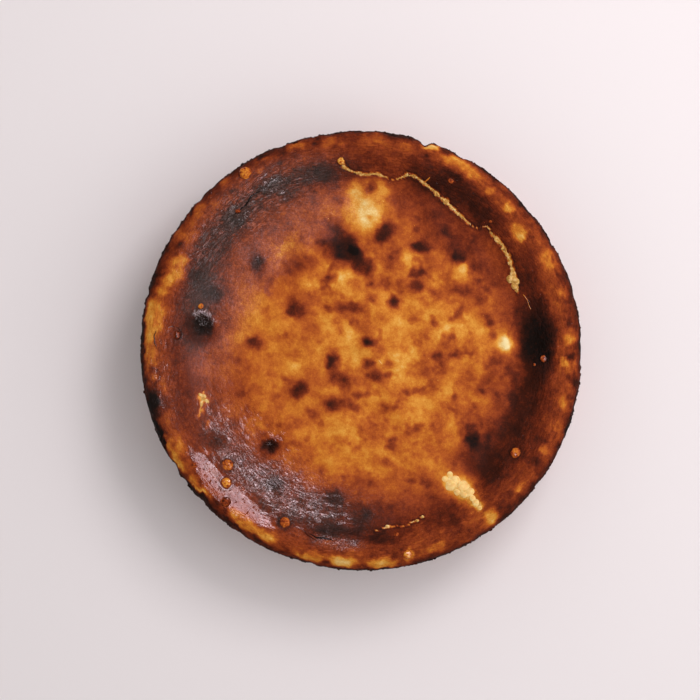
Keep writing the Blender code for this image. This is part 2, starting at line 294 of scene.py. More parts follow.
# Scorches and pale patches, in the order they lie over each other.
PATCHES = (
    # The pale curd that shows through under the split, at the top.
    Patch(4, 74, 18, 13, 95, Browning.HONEY, 0.80),
    Patch(3, 70, 12, 9.5, 10, Browning.GOLD, 0.95),
    Patch(2, 72, 7, 5, 60, Browning.STRAW, 0.95),
    Patch(3.5, 68, 6, 6, 0, Browning.CURD, 0.65),
    Patch(-3, 80, 5, 7, 20, Browning.GOLD, 1.0),
    Patch(10, 81, 5, 5, 0, Browning.GOLD, 1.0),
    Patch(4.3, 82.4, 4.0, 3.4, 0, Browning.MAROON, 0.75),
    Patch(4.8, 67.1, 1.8, 1.6, 0, Browning.HONEY, 0.9),
    # The upper middle.
    Patch(-14, 55, 11, 9, -35, Browning.MAROON, 0.75),
    Patch(-9, 54, 9.5, 7.5, -60, Browning.CHARRED, 0.95),
    Patch(-6, 48.5, 8.5, 6.5, -45, Browning.CHARRED, 1.0),
    Patch(-12, 60, 6, 4, 0, Browning.MAROON, 0.75),
    Patch(2, 42.5, 6.4, 5.4, -30, Browning.SCORCHED, 0.95),
    Patch(-22, 56, 7, 4, 20, Browning.RUSSET, 0.6),
    Patch(-25, 46, 4.5, 4.5, 0, Browning.MAROON, 0.6),
    Patch(10.8, 58.6, 5.4, 4.6, 20, Browning.SCORCHED, 0.90),
    Patch(14.4, 62.0, 5.2, 4.4, 10, Browning.SCORCHED, 0.90),
    Patch(31, 53, 6.8, 3.8, 0, Browning.SCORCHED, 0.95),
    Patch(49, 47, 4.2, 3.6, -15, Browning.SCORCHED, 1.0),
    Patch(50.0, 40.0, 6.5, 3.4, 52, Browning.GOLD, 0.85),
    Patch(51.5, 42.0, 2.8, 1.8, 40, Browning.STRAW, 0.55),
    Patch(24.5, 47.5, 6, 4, -30, Browning.GOLD, 0.75),
    Patch(30.0, 45.5, 4, 3, 0, Browning.HONEY, 0.6),
    Patch(-52, 44.5, 5.5, 6.5, 0, Browning.SCORCHED, 0.95),
    Patch(-53, 45, 3, 4, 0, Browning.CHARRED, 0.6),
    Patch(-36.6, 62.8, 2.4, 1.8, 0, Browning.MAROON, 0.8),
    Patch(-38, 51, 4, 8, -20, Browning.HONEY, 0.8),
    Patch(-34.5, 43, 6.5, 5.5, 0, Browning.MAROON, 0.85),
    Patch(-41, 40, 3, 3, 0, Browning.RUSSET, 0.7),
    Patch(-33.5, 22, 7.5, 5.6, -60, Browning.MAROON, 0.9),
    Patch(-5.7, 22, 7.8, 3.6, -5, Browning.MAROON, 0.8),
    Patch(28, 32, 5.4, 4.6, 0, Browning.MAROON, 1.0),
    Patch(20.5, 30.5, 3.8, 3.6, 0, Browning.RUSSET, 0.8),
    Patch(52, 30.5, 5.6, 3.8, -10, Browning.MAROON, 0.85),
    Patch(61, 25.6, 4.4, 3.8, 0, Browning.MAROON, 0.75),
    Patch(46.5, 23.3, 3.6, 4.0, 0, Browning.RUSSET, 0.8),
    Patch(38.5, 29.5, 5, 2.4, -10, Browning.RUSSET, 0.7),
    Patch(17.6, 24.6, 4, 4, 0, Browning.RUSSET, 0.9),
    Patch(15.5, 45, 7, 6.5, 0, Browning.RUSSET, 0.8),
    Patch(37, 15, 3.4, 5.4, -10, Browning.RUSSET, 0.65),
    Patch(-18, 35.5, 4.6, 3.2, 0, Browning.RUSSET, 0.7),
    Patch(-5, 36, 3.4, 3.6, 0, Browning.RUSSET, 0.5),
    Patch(12, 35, 3.6, 5.2, 0, Browning.RUSSET, 0.75),
    Patch(5.6, 27, 4.2, 3.2, 0, Browning.RUSSET, 0.75),
    Patch(-12, 12, 3.6, 3.8, 0, Browning.RUSSET, 0.7),
    Patch(-4, 15.5, 3, 3.2, 0, Browning.RUSSET, 0.65),
    Patch(-25, 28, 3.2, 2.8, 0, Browning.RUSSET, 0.4),
    Patch(-6.5, 41, 4, 6, 10, Browning.GOLD, 0.5),
    Patch(52, 13, 17, 9, 20, Browning.GOLD, 0.62),
    Patch(41, 20, 9, 5, 30, Browning.GOLD, 0.45),
    Patch(33, 28, 6, 3, -30, Browning.GOLD, 0.55),
    Patch(22, 6, 9, 6, 15, Browning.GOLD, 0.60),
    Patch(21, -7, 6, 4, -20, Browning.GOLD, 0.50),
    Patch(33, -16, 6, 4, -10, Browning.GOLD, 0.50),
    Patch(-10, 37, 3.4, 5, 10, Browning.GOLD, 0.60),
    Patch(-26, 33, 8, 4, -15, Browning.GOLD, 0.45),
    Patch(-17, 15, 4, 6, 10, Browning.GOLD, 0.50),
    Patch(-40, -8, 6, 5, 30, Browning.GOLD, 0.60),
    Patch(-26, -26, 4.6, 4, 20, Browning.GOLD, 0.60),
    Patch(-1, -21, 4.5, 5, 0, Browning.GOLD, 0.55),
    Patch(-12, -41, 6, 3.6, 0, Browning.GOLD, 0.50),
    Patch(-55, 12, 9, 7, 60, Browning.HONEY, 0.60),
    Patch(67, -12, 6, 9, 10, Browning.RUSSET, 0.50),
    # The middle and what is below it.
    Patch(4, 4.3, 3.4, 3, 0, Browning.MAROON, 0.9),
    Patch(3.8, -6.6, 3.8, 3.4, 0, Browning.MAROON, 0.85),
    Patch(7.5, -12.5, 5.4, 4, -35, Browning.MAROON, 0.85),
    Patch(-13.5, -5.5, 4.6, 6.4, 0, Browning.MAROON, 0.95),
    Patch(-12, -13, 5.6, 6, 0, Browning.MAROON, 0.95),
    Patch(-8.5, -17.5, 4.4, 6.6, -10, Browning.MAROON, 0.95),
    Patch(-14, -27, 7, 4.6, -10, Browning.MAROON, 0.85),
    Patch(-4, -28.3, 5, 3, -20, Browning.MAROON, 0.8),
    Patch(-24.5, -32.5, 3.6, 3.4, 0, Browning.MAROON, 0.8),
    Patch(-32, -37, 10, 2.6, 15, Browning.RUSSET, 0.6),
    Patch(-31, -19.5, 6.4, 4.8, 25, Browning.MAROON, 1.0),
    Patch(-32, -20, 3.4, 2.8, 25, Browning.SCORCHED, 0.6),
    Patch(14.6, -27.7, 3.8, 4.6, 0, Browning.RUSSET, 0.85),
    Patch(16, -47.5, 3.4, 5.2, 15, Browning.MAROON, 0.85),
    Patch(12.5, -57, 4.4, 3, 10, Browning.MAROON, 0.7),
    Patch(-2.2, -50.5, 2.6, 2.4, 0, Browning.RUSSET, 0.8),
    Patch(0.6, -39.8, 2.6, 2.2, 0, Browning.RUSSET, 0.6),
    Patch(-30, 0, 6, 3.6, 0, Browning.AMBER, 0.6),
    Patch(-54, 4, 3.8, 4.6, 10, Browning.MAROON, 0.8),
    Patch(-53, -18.5, 3.6, 3.6, 0, Browning.RUSSET, 0.55),
    Patch(-43, -9, 8, 6, 0, Browning.HONEY, 0.6),
    # The right of the middle.
    Patch(39.2, -3.8, 2.8, 4.8, -12, Browning.MAROON, 0.85),
    Patch(49.4, -1.8, 3.4, 2.8, 15, Browning.MAROON, 0.9),
    Patch(53, 1.6, 1.8, 1.7, 0, Browning.RUSSET, 1.0),
    Patch(43, 4.6, 3.6, 4.2, 0, Browning.RUSSET, 0.65),
    Patch(31, -1, 2.8, 2.6, 0, Browning.RUSSET, 0.6),
    Patch(41, -10.6, 2.6, 3, 0, Browning.RUSSET, 0.7),
    Patch(15, -7, 2.6, 3.2, 0, Browning.RUSSET, 0.7),
    Patch(22, -11, 3, 3, -40, Browning.RUSSET, 0.55),
    Patch(29, -38.8, 4, 2.8, 20, Browning.MAROON, 0.8),
    Patch(24.5, -41, 3.2, 2.4, 10, Browning.RUSSET, 0.7),
    Patch(60, -18.8, 3.2, 3, 0, Browning.RUSSET, 0.6),
    Patch(69.5, -5.2, 4, 3.4, 0, Browning.MAROON, 0.8),
    Patch(56.5, -45.5, 4.6, 5.6, 10, Browning.CHARRED, 0.95),
    Patch(66, -56, 12, 8.5, -55, Browning.SCORCHED, 0.75),
    Patch(79, -44, 6, 6, 0, Browning.SCORCHED, 0.7),
    Patch(20, -20, 15, 10, -40, Browning.HONEY, 0.45),
    Patch(35, 10, 14, 9, 20, Browning.HONEY, 0.35),
    # The charred hollows of the left and the lower left.
    Patch(-83, 12, 15, 10, 75, Browning.SCORCHED, 0.85),
    Patch(-80.6, 12.4, 7.4, 6.6, 75, Browning.CHARRED, 1.0, 0.6),
    Patch(-76, 29, 7.0, 5.6, 20, Browning.CHARRED, 1.0),
    Patch(-68.5, 14.5, 6, 4, 80, Browning.MAROON, 0.7),
    Patch(-46.5, -48.5, 5.2, 4.6, 0, Browning.CHARRED, 0.95),
    Patch(-44, -68, 6, 5, 0, Browning.CHARRED, 0.6),
    Patch(-50, -77, 5, 3.5, -40, Browning.SCORCHED, 0.7),
    Patch(-19.5, 89.5, 6.5, 5, -20, Browning.CHARRED, 0.9),
    Patch(-44, 83.5, 9, 4.5, 25, Browning.CHARRED, 0.85),
    Patch(-39, 79, 8, 4, 20, Browning.SCORCHED, 0.8),
    Patch(-64, 66, 6, 5.5, 40, Browning.CHARRED, 0.9),
    Patch(-78, 57, 9, 6, 60, Browning.SCORCHED, 0.85),
    Patch(-81, 37, 8, 6, 75, Browning.CHARRED, 0.7),
    Patch(-74, -45, 6, 5, 0, Browning.SCORCHED, 0.75),
    Patch(-13, -75, 6, 5, 0, Browning.CHARRED, 0.6),
    Patch(-15, -91, 10, 4, 0, Browning.CHARRED, 0.7),
    Patch(10, -95, 9, 3.5, 5, Browning.SCORCHED, 0.8),
    Patch(47, -84, 7, 5, 25, Browning.MAROON, 0.7),
    Patch(89.5, 3, 13, 9, 90, Browning.CHARRED, 0.9),
    Patch(88, 14, 7, 7, 0, Browning.CHARRED, 0.75),
    Patch(82, 20, 6, 8, 0, Browning.SCORCHED, 0.75),
    Patch(47, 84, 17, 8, -42, Browning.SCORCHED, 0.85),
    Patch(33, 90, 9, 6, -30, Browning.SCORCHED, 0.80),
    Patch(58, 74, 12, 6, -50, Browning.SCORCHED, 0.70),
    # Bare curd.
    Patch(50.5, -70.0, 15, 9.0, -44, Browning.AMBER, 0.95),
    Patch(50.5, -70.0, 11.5, 6.4, -44, Browning.HONEY, 1.0),
    Patch(45.6, -67.2, 5.6, 5.8, -20, Browning.CURD, 0.75, 0.7),
    Patch(52.6, -71.0, 6.2, 5.2, -40, Browning.CURD, 0.75, 0.7),
    Patch(58.5, -77.8, 4.2, 2.6, -45, Browning.CURD, 0.75, 0.7),
    Patch(49.3, -69.5, 1.2, 3.6, -20, Browning.GOLD, 0.8),
    Patch(56.5, -76.0, 1.3, 2.8, -30, Browning.GOLD, 0.6),
    Patch(72.8, 4, 7.0, 5.6, 105, Browning.GOLD, 0.95),
    Patch(73.6, 4, 4.8, 3.6, 105, Browning.CURD, 1.0),
    Patch(-80.8, -24.5, 3.4, 2.4, 70, Browning.STRAW, 1.0),
    Patch(-81.5, -31, 3.2, 1.3, 80, Browning.STRAW, 0.9),
    Patch(-77.6, -36.8, 2, 1.4, 60, Browning.HONEY, 0.8),
)

SPLITS = (
    Split(
        name="rim_split",
        route=(
            (-9.2, 95.6, 1.5),
            (-9.0, 92.8, 1.6),
            (-5.0, 91.3, 1.2),
            (0.5, 89.3, 1.7),
            (8.5, 89.6, 1.4),
            (13.5, 87.6, 0.9),
            (18.4, 86.7, 0.9),
            (24.1, 89.4, 1.4),
            (28.5, 87.6, 1.7),
            (35.3, 82.6, 1.3),
            (43.6, 75.3, 2.1),
            (49.0, 70.0, 1.7),
            (55.6, 63.7, 0.9),
            (59.8, 62.0, 0.5),
            (63.9, 63.4, 0.7),
            (66.3, 59.1, 1.4),
            (71.2, 54.2, 1.9),
            (74.4, 48.5, 2.3),
            (77.0, 40.5, 1.9),
            (78.1, 34.7, 2.4),
            (79.6, 28.6, 0.7),
        ),
        depth=1.5,
        sway=0.6,
        toasting=-0.04,
        lumps=((76.6, 36.2, 2.6), (79.0, 35.4, 2.5), (78.2, 33.0, 2.1), (77.0, 39.2, 1.6), (79.2, 30.6, 1.1)),
    ),
    Split(
        name="lower_split",
        route=(
            (7.1, -91.3, 0.4),
            (14.3, -89.1, 0.9),
            (22.5, -88.7, 0.5),
            (28.2, -86.2, 0.8),
            (31.4, -83.9, 0.9),
        ),
        depth=0.9,
        sway=0.5,
        toasting=-0.20,
        lumps=((13.4, -89.4, 1.1), (28.6, -86.2, 1.0), (31.2, -84.2, 0.9)),
    ),
    Split(
        name="left_tear",
        route=((-79.6, -20.4, 0.8), (-80.4, -24.4, 2.2), (-81.2, -28.0, 1.0), (-81.8, -32.6, 0.7)),
        depth=0.9,
        sway=0.5,
        toasting=-0.20,
        lumps=((-80.0, -23.4, 1.5), (-81.6, -22.4, 1.2), (-78.4, -25.6, 1.3), (-81.0, -26.6, 1.0)),
    ),
)

# Smooth lumps of the bare curd at the lower right, as (x, y, radius) in millimetres.
CURD_LUMPS = (
    (45.4, -68.6, 3.0),
    (48.6, -66.2, 2.6),
    (52.3, -69.2, 2.8),
    (55.5, -71.8, 2.6),
    (52.0, -73.4, 2.2),
    (43.2, -65.6, 2.0),
    (45.6, -62.8, 1.8),
    (48.6, -71.6, 2.0),
    (58.4, -77.2, 2.0),
    (56.6, -75.0, 1.8),
    (60.4, -79.2, 1.3),
)


@dataclass(frozen=True)
class Blister:
    """A bubble of curd that rose through the skin and browned on its own. Sizes are in millimetres."""

    x: float
    y: float
    radius: float
    top: Browning
    ring: Browning = Browning.SCORCHED


@dataclass(frozen=True)
class CharPit:
    """A charred hollow whose skin drew together in folds. Sizes are in millimetres."""

    x: float
    y: float
    radius: float
    folds: int
    fold_height: float
    lip_height: float = 0.0
    shine: float = 0.25


@dataclass(frozen=True)
class Thread:
    """A thin raised fold or hairline on the skin. Sizes are in millimetres."""

    route: tuple[tuple[float, float], ...]
    half_width: float
    browning: Browning


BLISTERS = (
    Blister(-9.9, 96.3, 2.1, Browning.STRAW, Browning.MAROON),
    Blister(-58.6, 90.0, 3.1, Browning.GOLD, Browning.RUSSET),
    # A tiny pale speck made as a small blister: a painted highlight.
    Blister(-16.5, 67.3, 0.45, Browning.CURD, Browning.AMBER),
    Blister(-62.5, 71.2, 1.5, Browning.AMBER),
    Blister(-81.5, 22.8, 1.6, Browning.HONEY, Browning.CHARRED),
    Blister(-93.5, 8.0, 2.3, Browning.RUSSET, Browning.SCORCHED),
    Blister(-67.9, -58.1, 3.1, Browning.HONEY),
    Blister(-68.4, -67.0, 2.8, Browning.GOLD),
    Blister(-68.4, -76.3, 2.5, Browning.RUSSET, Browning.MAROON),
    Blister(-84.5, -58.0, 1.4, Browning.AMBER, Browning.RUSSET),
    Blister(-38.8, -87.0, 2.9, Browning.AMBER, Browning.CHARRED),
    Blister(92.7, -4.0, 1.9, Browning.AMBER, Browning.CHARRED),
    Blister(88.3, -7.0, 0.9, Browning.AMBER, Browning.CHARRED),
    Blister(78.4, -51.8, 2.8, Browning.HONEY),
    Blister(45.5, 86.2, 1.6, Browning.AMBER, Browning.MAROON),
    Blister(24.6, 90.0, 0.9, Browning.AMBER, Browning.MAROON),
    Blister(65.9, 65.6, 1.0, Browning.AMBER, Browning.MAROON),
    Blister(18.0, -93.2, 1.4, Browning.AMBER, Browning.MAROON),
    Blister(23.5, -103.0, 2.2, Browning.STRAW, Browning.AMBER),
)

CHAR_PITS = (
    CharPit(-81.2, 12.0, 8.5, 9, 0.38, 0.75, 0.8),
    CharPit(-74.5, 29.0, 5.5, 5, 0.12, 0.25),
    CharPit(-46.4, -48.4, 6.0, 8, 0.45, 0.45, 0.6),
    CharPit(-73.7, -45.4, 4.5, 7, 0.15, 0.0, 0.5),
    CharPit(-52.0, 44.3, 5.0, 7, 0.20, 0.30, 0.35),
)

THREADS = (
    Thread(((7.6, -3.9), (9.4, -5.2), (10.8, -6.8), (11.6, -8.4)), 0.14, Browning.CURD),
    Thread(((81.4, 29.6), (83.2, 27.4), (85.0, 24.4), (86.2, 20.6), (87.2, 18.6)), 0.20, Browning.HONEY),
    Thread(((-64.5, 69.1), (-61.4, 71.6), (-58.3, 74.2), (-55.6, 78.4), (-49.7, 81.9)), 0.45, Browning.CHARRED),
    Thread(((-25.8, -92.8), (-22.4, -94.8), (-18.6, -95.0), (-14.1, -96.2)), 0.50, Browning.CHARRED),
    Thread(((-31.0, -90.0), (-27.0, -93.4), (-21.0, -97.0)), 0.35, Browning.SCORCHED),
    Thread(((-97.5, 11.4), (-95.6, 12.4), (-92.4, 11.6), (-90.4, 8.4), (-91.2, 4.4)), 0.30, Browning.SCORCHED),
    Thread(((-103.4, 10.8), (-104.6, 7.4), (-104.2, 3.6), (-103.0, 0.6)), 0.30, Browning.SCORCHED),
    Thread(((32.0, 85.4), (33.6, 86.6), (34.8, 87.8)), 0.40, Browning.HONEY),
)

# Stretches that differ in shine and relief: the streaked pool of fat, the smooth film on the crest
# beside it, its splashes towards the middle, the hazy skin of the upper left and the craggy band there.
POOL = Stretch(232, 60, 82, 24, 0.25)
GLAZE = Stretch(262, 13, 98, 5.5, 0.3)
FILM = Stretch(226.5, 22, 99, 7.5, 0.5)
SPLASHES = Stretch(222, 40, 66, 18, 0.2)
HAZE = Stretch(142, 72, 78, 28, 0.35)
FLANK = Stretch(188, 30, 101, 14, 0.25)
LEATHER = Stretch(128, 44, 93, 19, 0.3)

# How thickly flakes, crumbs and beads lie, as the attribute that says where.
FLAKY, CRUMBLY, BEADED = "flaky", "crumbly", "beaded"


def linear(code: str) -> tuple[float, float, float, float]:
    """Turns an sRGB hex colour into the linear colour that nodes use.

    Args:
        code: The colour as "#RRGGBB".

    Returns:
        Red, green, blue and an alpha of 1.
    """
    shares = [int(code[place : place + 2], 16) / 255 for place in (1, 3, 5)]
    red, green, blue = (
        share / 12.92 if share <= 0.04045 else ((share + 0.055) / 1.055) ** 2.4 for share in shares
    )
    return red, green, blue, 1.0


def add_node(tree: bpy.types.NodeTree, kind: str, inputs: dict | None = None, **settings) -> bpy.types.Node:
    """Adds a node with its settings, and fills or links its inputs.

    Args:
        tree: The tree that gets the node.
        kind: Blender's name for the kind of node.
        inputs: For each input, by name or number, a value or the socket that feeds it.
        **settings: The node's own properties.

    Returns:
        The new node.
    """
    node = tree.nodes.new(kind)
    for name, value in settings.items():
        setattr(node, name, value)
    for key, value in (inputs or {}).items():
        if isinstance(value, bpy.types.NodeSocket):
            tree.links.new(value, node.inputs[key])
        else:
            node.inputs[key].default_value = value
    return node


def ease(share: np.ndarray | float) -> np.ndarray | float:
    """0 to 1 with a level start and a level end."""
    return 0.5 - 0.5 * np.cos(np.pi * np.clip(share, 0.0, 1.0))


def apart(angle: np.ndarray, other: float) -> np.ndarray:
    """The angle between directions and another one, in radians, without its sign."""
    return np.abs((angle - other + np.pi) % (2 * np.pi) - np.pi)


def noise_at(points: np.ndarray, spacing: float, shift: float = 0.0) -> np.ndarray:
    """Smooth noise from about -1 to 1 at each point.

    Args:
        points: Places as rows of x, y and z.
        spacing: The distance between neighbouring lumps of the noise.
        shift: Moves the pattern, so that several uses differ.

    Returns:
        One value for each row.
    """
    offset = Vector((shift, -shift, shift))
    return np.array([noise.noise(Vector(row) / spacing + offset) for row in points])


def marked_mesh(name: str, spots: list, edges: list, marks: dict[str, list[float]]) -> bpy.types.Object:
    """Makes an object of loose points or edges that carry named values."""
    data = bpy.data.meshes.new(name)
    data.from_pydata(spots, edges, [])
    for mark, row in marks.items():
        data.attributes.new(mark, "FLOAT", "POINT").data.foreach_set("value", np.array(row, dtype=np.float32))
    return put_mesh(name, data)


def put_mesh(name: str, data: bpy.types.Mesh) -> bpy.types.Object:
    """Links a mesh into the scene as an object at the origin."""
    made = bpy.data.objects.new(name, data)
    bpy.context.scene.collection.objects.link(made)
    return made


@dataclass(frozen=True)
class CakeForm:
    """The form of the cake, with the sizes of the frame's solid."""

    radius: float = 112 * MM
    rim_height: float = 52 * MM
    dome_rise: float = 1.8 * MM
    moat_share: float = 0.70
    moat_depth: float = 7.0 * MM
    crest_share: float = 0.925
    shoulder_drop: float = 9.0 * MM
    waist: float = 1.0 * MM
    foot_inset: float = 1.6 * MM
    foot_round: float = 3.5 * MM
    ovality: float = 0.6 * MM
    oval_turn: float = math.radians(145)
    rim_waves: tuple = ((2, 0.7 * MM, 20), (3, 0.5 * MM, 75), (5, 0.35 * MM, 10), (9, 0.25 * MM, 160))
    lump_spacing: float = 17 * MM
    lump_height: float = 1.0 * MM
    crease_count: int = 34
    crease_depth: tuple[float, float] = (0.3 * MM, 0.9 * MM)
    crease_width: tuple[float, float] = (math.radians(1.6), math.radians(3.6))
    crease_seed: int = 9
    chip_turn: float = math.radians(72.7)
    chip_width: float = math.radians(1.8)
    chip_depth: float = 1.5 * MM
    crag_height: float = 0.8 * MM
    crag_spacing: float = 4.5 * MM
    # Charred hollows as (x, y, radius, depth).
    hollows: tuple = (
        (-81 * MM, 13 * MM, 8 * MM, 1.1 * MM),
        (-9 * MM, 53 * MM, 9 * MM, 0.7 * MM),
        (56 * MM, -45 * MM, 6 * MM, 0.7 * MM),
        (-46 * MM, -48 * MM, 5 * MM, 0.8 * MM),
        (90 * MM, 6 * MM, 9 * MM, 0.8 * MM),
        (-30 * MM, -90 * MM, 8 * MM, 0.8 * MM),
    )
    # Bare curd that pushed up, as (x, y, half length, half width, turn, height).
    swells: tuple = (
        (51 * MM, -71 * MM, 12 * MM, 5 * MM, -40, 1.2 * MM),
        (74 * MM, 3.5 * MM, 6 * MM, 4 * MM, 100, 0.8 * MM),
        (4 * MM, 73 * MM, 12 * MM, 8 * MM, 95, 0.7 * MM),
    )

    @property
    def crest(self) -> float:
        """Radius of the rim's crest."""
        return self.radius * self.crest_share

    def mark(self, x: np.ndarray, y: np.ndarray, oval: tuple[float, float, float, float, float]) -> np.ndarray:
        """1 in the middle of an oval of (x, y, half length, half width, turn), easing to 0 at its edge."""
        mark_x, mark_y, half_length, half_width, turn = oval
        angle = math.radians(turn)
        along = (x - mark_x) * math.cos(angle) + (y - mark_y) * math.sin(angle)
        across = (y - mark_y) * math.cos(angle) - (x - mark_x) * math.sin(angle)
        return 1 - ease(np.hypot(along / half_length, across / half_width))

    def turned_height(self, radius: np.ndarray) -> np.ndarray:
        """Height of the turned top: dome, moat, inner slope and crest."""
        moat = self.moat_share * self.radius
        low = self.rim_height - self.moat_depth
        dome = low + self.dome_rise * (1 - ease(radius / moat))
        slope = low + self.moat_depth * ease((radius - moat) / (self.crest - moat))
        return np.where(radius <= moat, dome, slope)

    def skin_height(self, x: np.ndarray, y: np.ndarray) -> np.ndarray:
        """Height of the whole skin inside the crest.

        Args:
            x: Places along X.
            y: Places along Y.

        Returns:
            The height at each place.
        """
        radius, angle = np.hypot(x, y), np.arctan2(y, x)
        wave = sum(
            height * np.cos(order * (angle - math.radians(turn))) for order, height, turn in self.rim_waves
        )
        lumps = np.array(
            [
                noise.fractal(Vector((px, py, 0.0)) / self.lump_spacing, 1.0, 2.0, 2)
                for px, py in zip(x, y)
            ]
        )
        height = self.turned_height(radius) + ease(radius / self.crest) ** 2 * wave
        height = height + self.lump_height * lumps
        for mark_x, mark_y, hollow_radius, depth in self.hollows:
            height = height - depth * self.mark(x, y, (mark_x, mark_y, hollow_radius, hollow_radius, 0))
        for *oval, rise in self.swells:
            height = height + rise * self.mark(x, y, tuple(oval))
        return height

    def edge_radius(self, angle: np.ndarray) -> np.ndarray:
        """Radius of the edge at each angle: oval, creased and chipped."""
        draw = random.Random(self.crease_seed)
        radius = self.radius + self.ovality * np.cos(2 * (angle - self.oval_turn))
        for _ in range(self.crease_count):
            turn = draw.uniform(-math.pi, math.pi)
            half_width = draw.uniform(*self.crease_width)
            depth = draw.uniform(*self.crease_depth)
            radius = radius - depth * (1 - ease(apart(angle, turn) / half_width))
        return radius - self.chip_depth * (1 - ease(apart(angle, self.chip_turn) / self.chip_width))

    def crag(self, points: np.ndarray) -> np.ndarray:
        """Roughness of the crust where it met the tin."""
        return 0.5 * self.crag_height * noise_at(points, self.crag_spacing)


class SplitPath:
    """The wandering middle line of a split, with its half width at each point."""

    def __init__(self, split: Split, step: float = 0.5 * MM) -> None:
        """Walks the route in even steps and lets it wander.

        Args:
            split: The split.
            step: Distance between the points.
        """
        self.split = split
        corners = np.array(split.route) * MM
        lengths = np.hypot(*np.diff(corners[:, :2], axis=0).T)
        reach = np.concatenate(([0.0], np.cumsum(lengths)))
        steps = np.linspace(0, reach[-1], max(3, round(reach[-1] / step)))
        x, y, width = (np.interp(steps, reach, corners[:, axis]) for axis in range(3))
        self.points = np.column_stack([x, y])
        walk = np.column_stack([self.points, np.zeros(len(steps))])
        for axis in range(2):
            wander = noise_at(walk, 3.5 * MM, 7.0 + axis) + 0.5 * noise_at(walk, 1.3 * MM, 3.0 + axis)
            self.points[:, axis] += split.sway * MM * wander
        uneven = 1 + 0.8 * noise_at(walk, 2.2 * MM, 11.0) + 0.3 * noise_at(walk, 0.9 * MM, 12.0)
        self.half_widths = 0.5 * width * uneven

    def distance(self, x: np.ndarray, y: np.ndarray) -> tuple[np.ndarray, np.ndarray]:
        """How far places are from the split's middle line, and its half width there.

        Args:
            x: Places along X.
            y: Places along Y.

        Returns:
            The distances and the half widths.
        """
        far = np.full(len(x), 1.0)
        half = np.full(len(x), self.half_widths.min())
        reach = 6 * MM
        low, high = self.points.min(axis=0) - reach, self.points.max(axis=0) + reach
        near = np.flatnonzero((x > low[0]) & (x < high[0]) & (y > low[1]) & (y < high[1]))
        if len(near):
            gap = np.hypot(x[near, None] - self.points[None, :, 0], y[near, None] - self.points[None, :, 1])
            closest = gap.argmin(axis=1)
            far[near] = gap[np.arange(len(near)), closest]
            half[near] = self.half_widths[closest]
        return far, half


@dataclass
class SkinTones:
    """Works out how each point of the skin browned, glistens and wrinkles."""

    form: CakeForm
    # Browning by share of the radius: golden middle, scorched slope, lighter shoulder, burnt edge.
    shares: tuple[float, ...] = (0.0, 0.30, 0.45, 0.55, 0.63, 0.70, 0.78, 0.85, 0.90, 0.945, 0.97, 1.0)
    levels: tuple[float, ...] = (0.34, 0.35, 0.38, 0.43, 0.49, 0.56, 0.64, 0.64, 0.57, 0.54, 0.60, 0.80)
    warp_wide: float = 5.0 * MM
    warp_fine: float = 1.8 * MM
    warp_reach: float = 1.6 * MM
    rim_crispness: float = 1.6

    def warped(self, points: np.ndarray) -> tuple[np.ndarray, np.ndarray]:
        """Places pushed about a little, so that patches have ragged edges."""
        moved = []
        for axis in range(2):
            push = noise_at(points, self.warp_wide, 20.0 + 5 * axis)
            push = push + 0.45 * noise_at(points, self.warp_fine, 40.0 + 5 * axis)
            moved.append(points[:, axis] + self.warp_reach * push)
        return moved[0], moved[1]

    def top(self, points: np.ndarray) -> np.ndarray:
        """Browning of the top and the shoulder.

        Args:
            points: Places as rows of x, y and z.

        Returns:
            The browning at each place, from 0 to 1.
        """
        x, y = self.warped(points)
        radius, angle = np.hypot(x, y), np.arctan2(y, x)
        level = np.interp(radius / self.form.radius, self.shares, self.levels)
        for arcs, crispness in ((RING_TONES, 1.0), (RIM_TONES, self.rim_crispness)):
            for arc in arcs:
                turned = apart(angle, math.radians(arc.angle)) / math.radians(arc.half_spread)
                across = (radius - arc.radius * MM) / (arc.half_width * MM)
                weight = self.patch_weight(np.hypot(turned, across), arc.softness / crispness)
                level = level + (arc.browning.level - level) * weight * arc.strength
        for patch in PATCHES:
            turn = math.radians(patch.turn)
            aside, above = x - patch.x * MM, y - patch.y * MM
            along = (aside * math.cos(turn) + above * math.sin(turn)) / (patch.half_length * MM)
            across = (above * math.cos(turn) - aside * math.sin(turn)) / (patch.half_width * MM)
            gap = np.hypot(along, across)
            weight = 0.82 * self.patch_weight(gap, patch.softness) + 0.18 * self.patch_weight(gap / 1.8)
            weight = patch.strength * weight
            level = level + (patch.browning.level - level) * weight
        for blister in BLISTERS:
            gap = np.hypot(points[:, 0] - blister.x * MM, points[:, 1] - blister.y * MM)
            ring = np.exp(-(((gap / (blister.radius * MM) - 1.1) / 0.35) ** 2))
            level = level + (blister.ring.level - level) * 0.5 * ring
        return level

    @staticmethod
    def patch_weight(distance: np.ndarray, softness: float = 0.95) -> np.ndarray:
        """How much a patch shows at a share of its reach: whole in its core, fading at its edge."""
        return 1 - ease((distance - 0.725) / softness + 0.5)


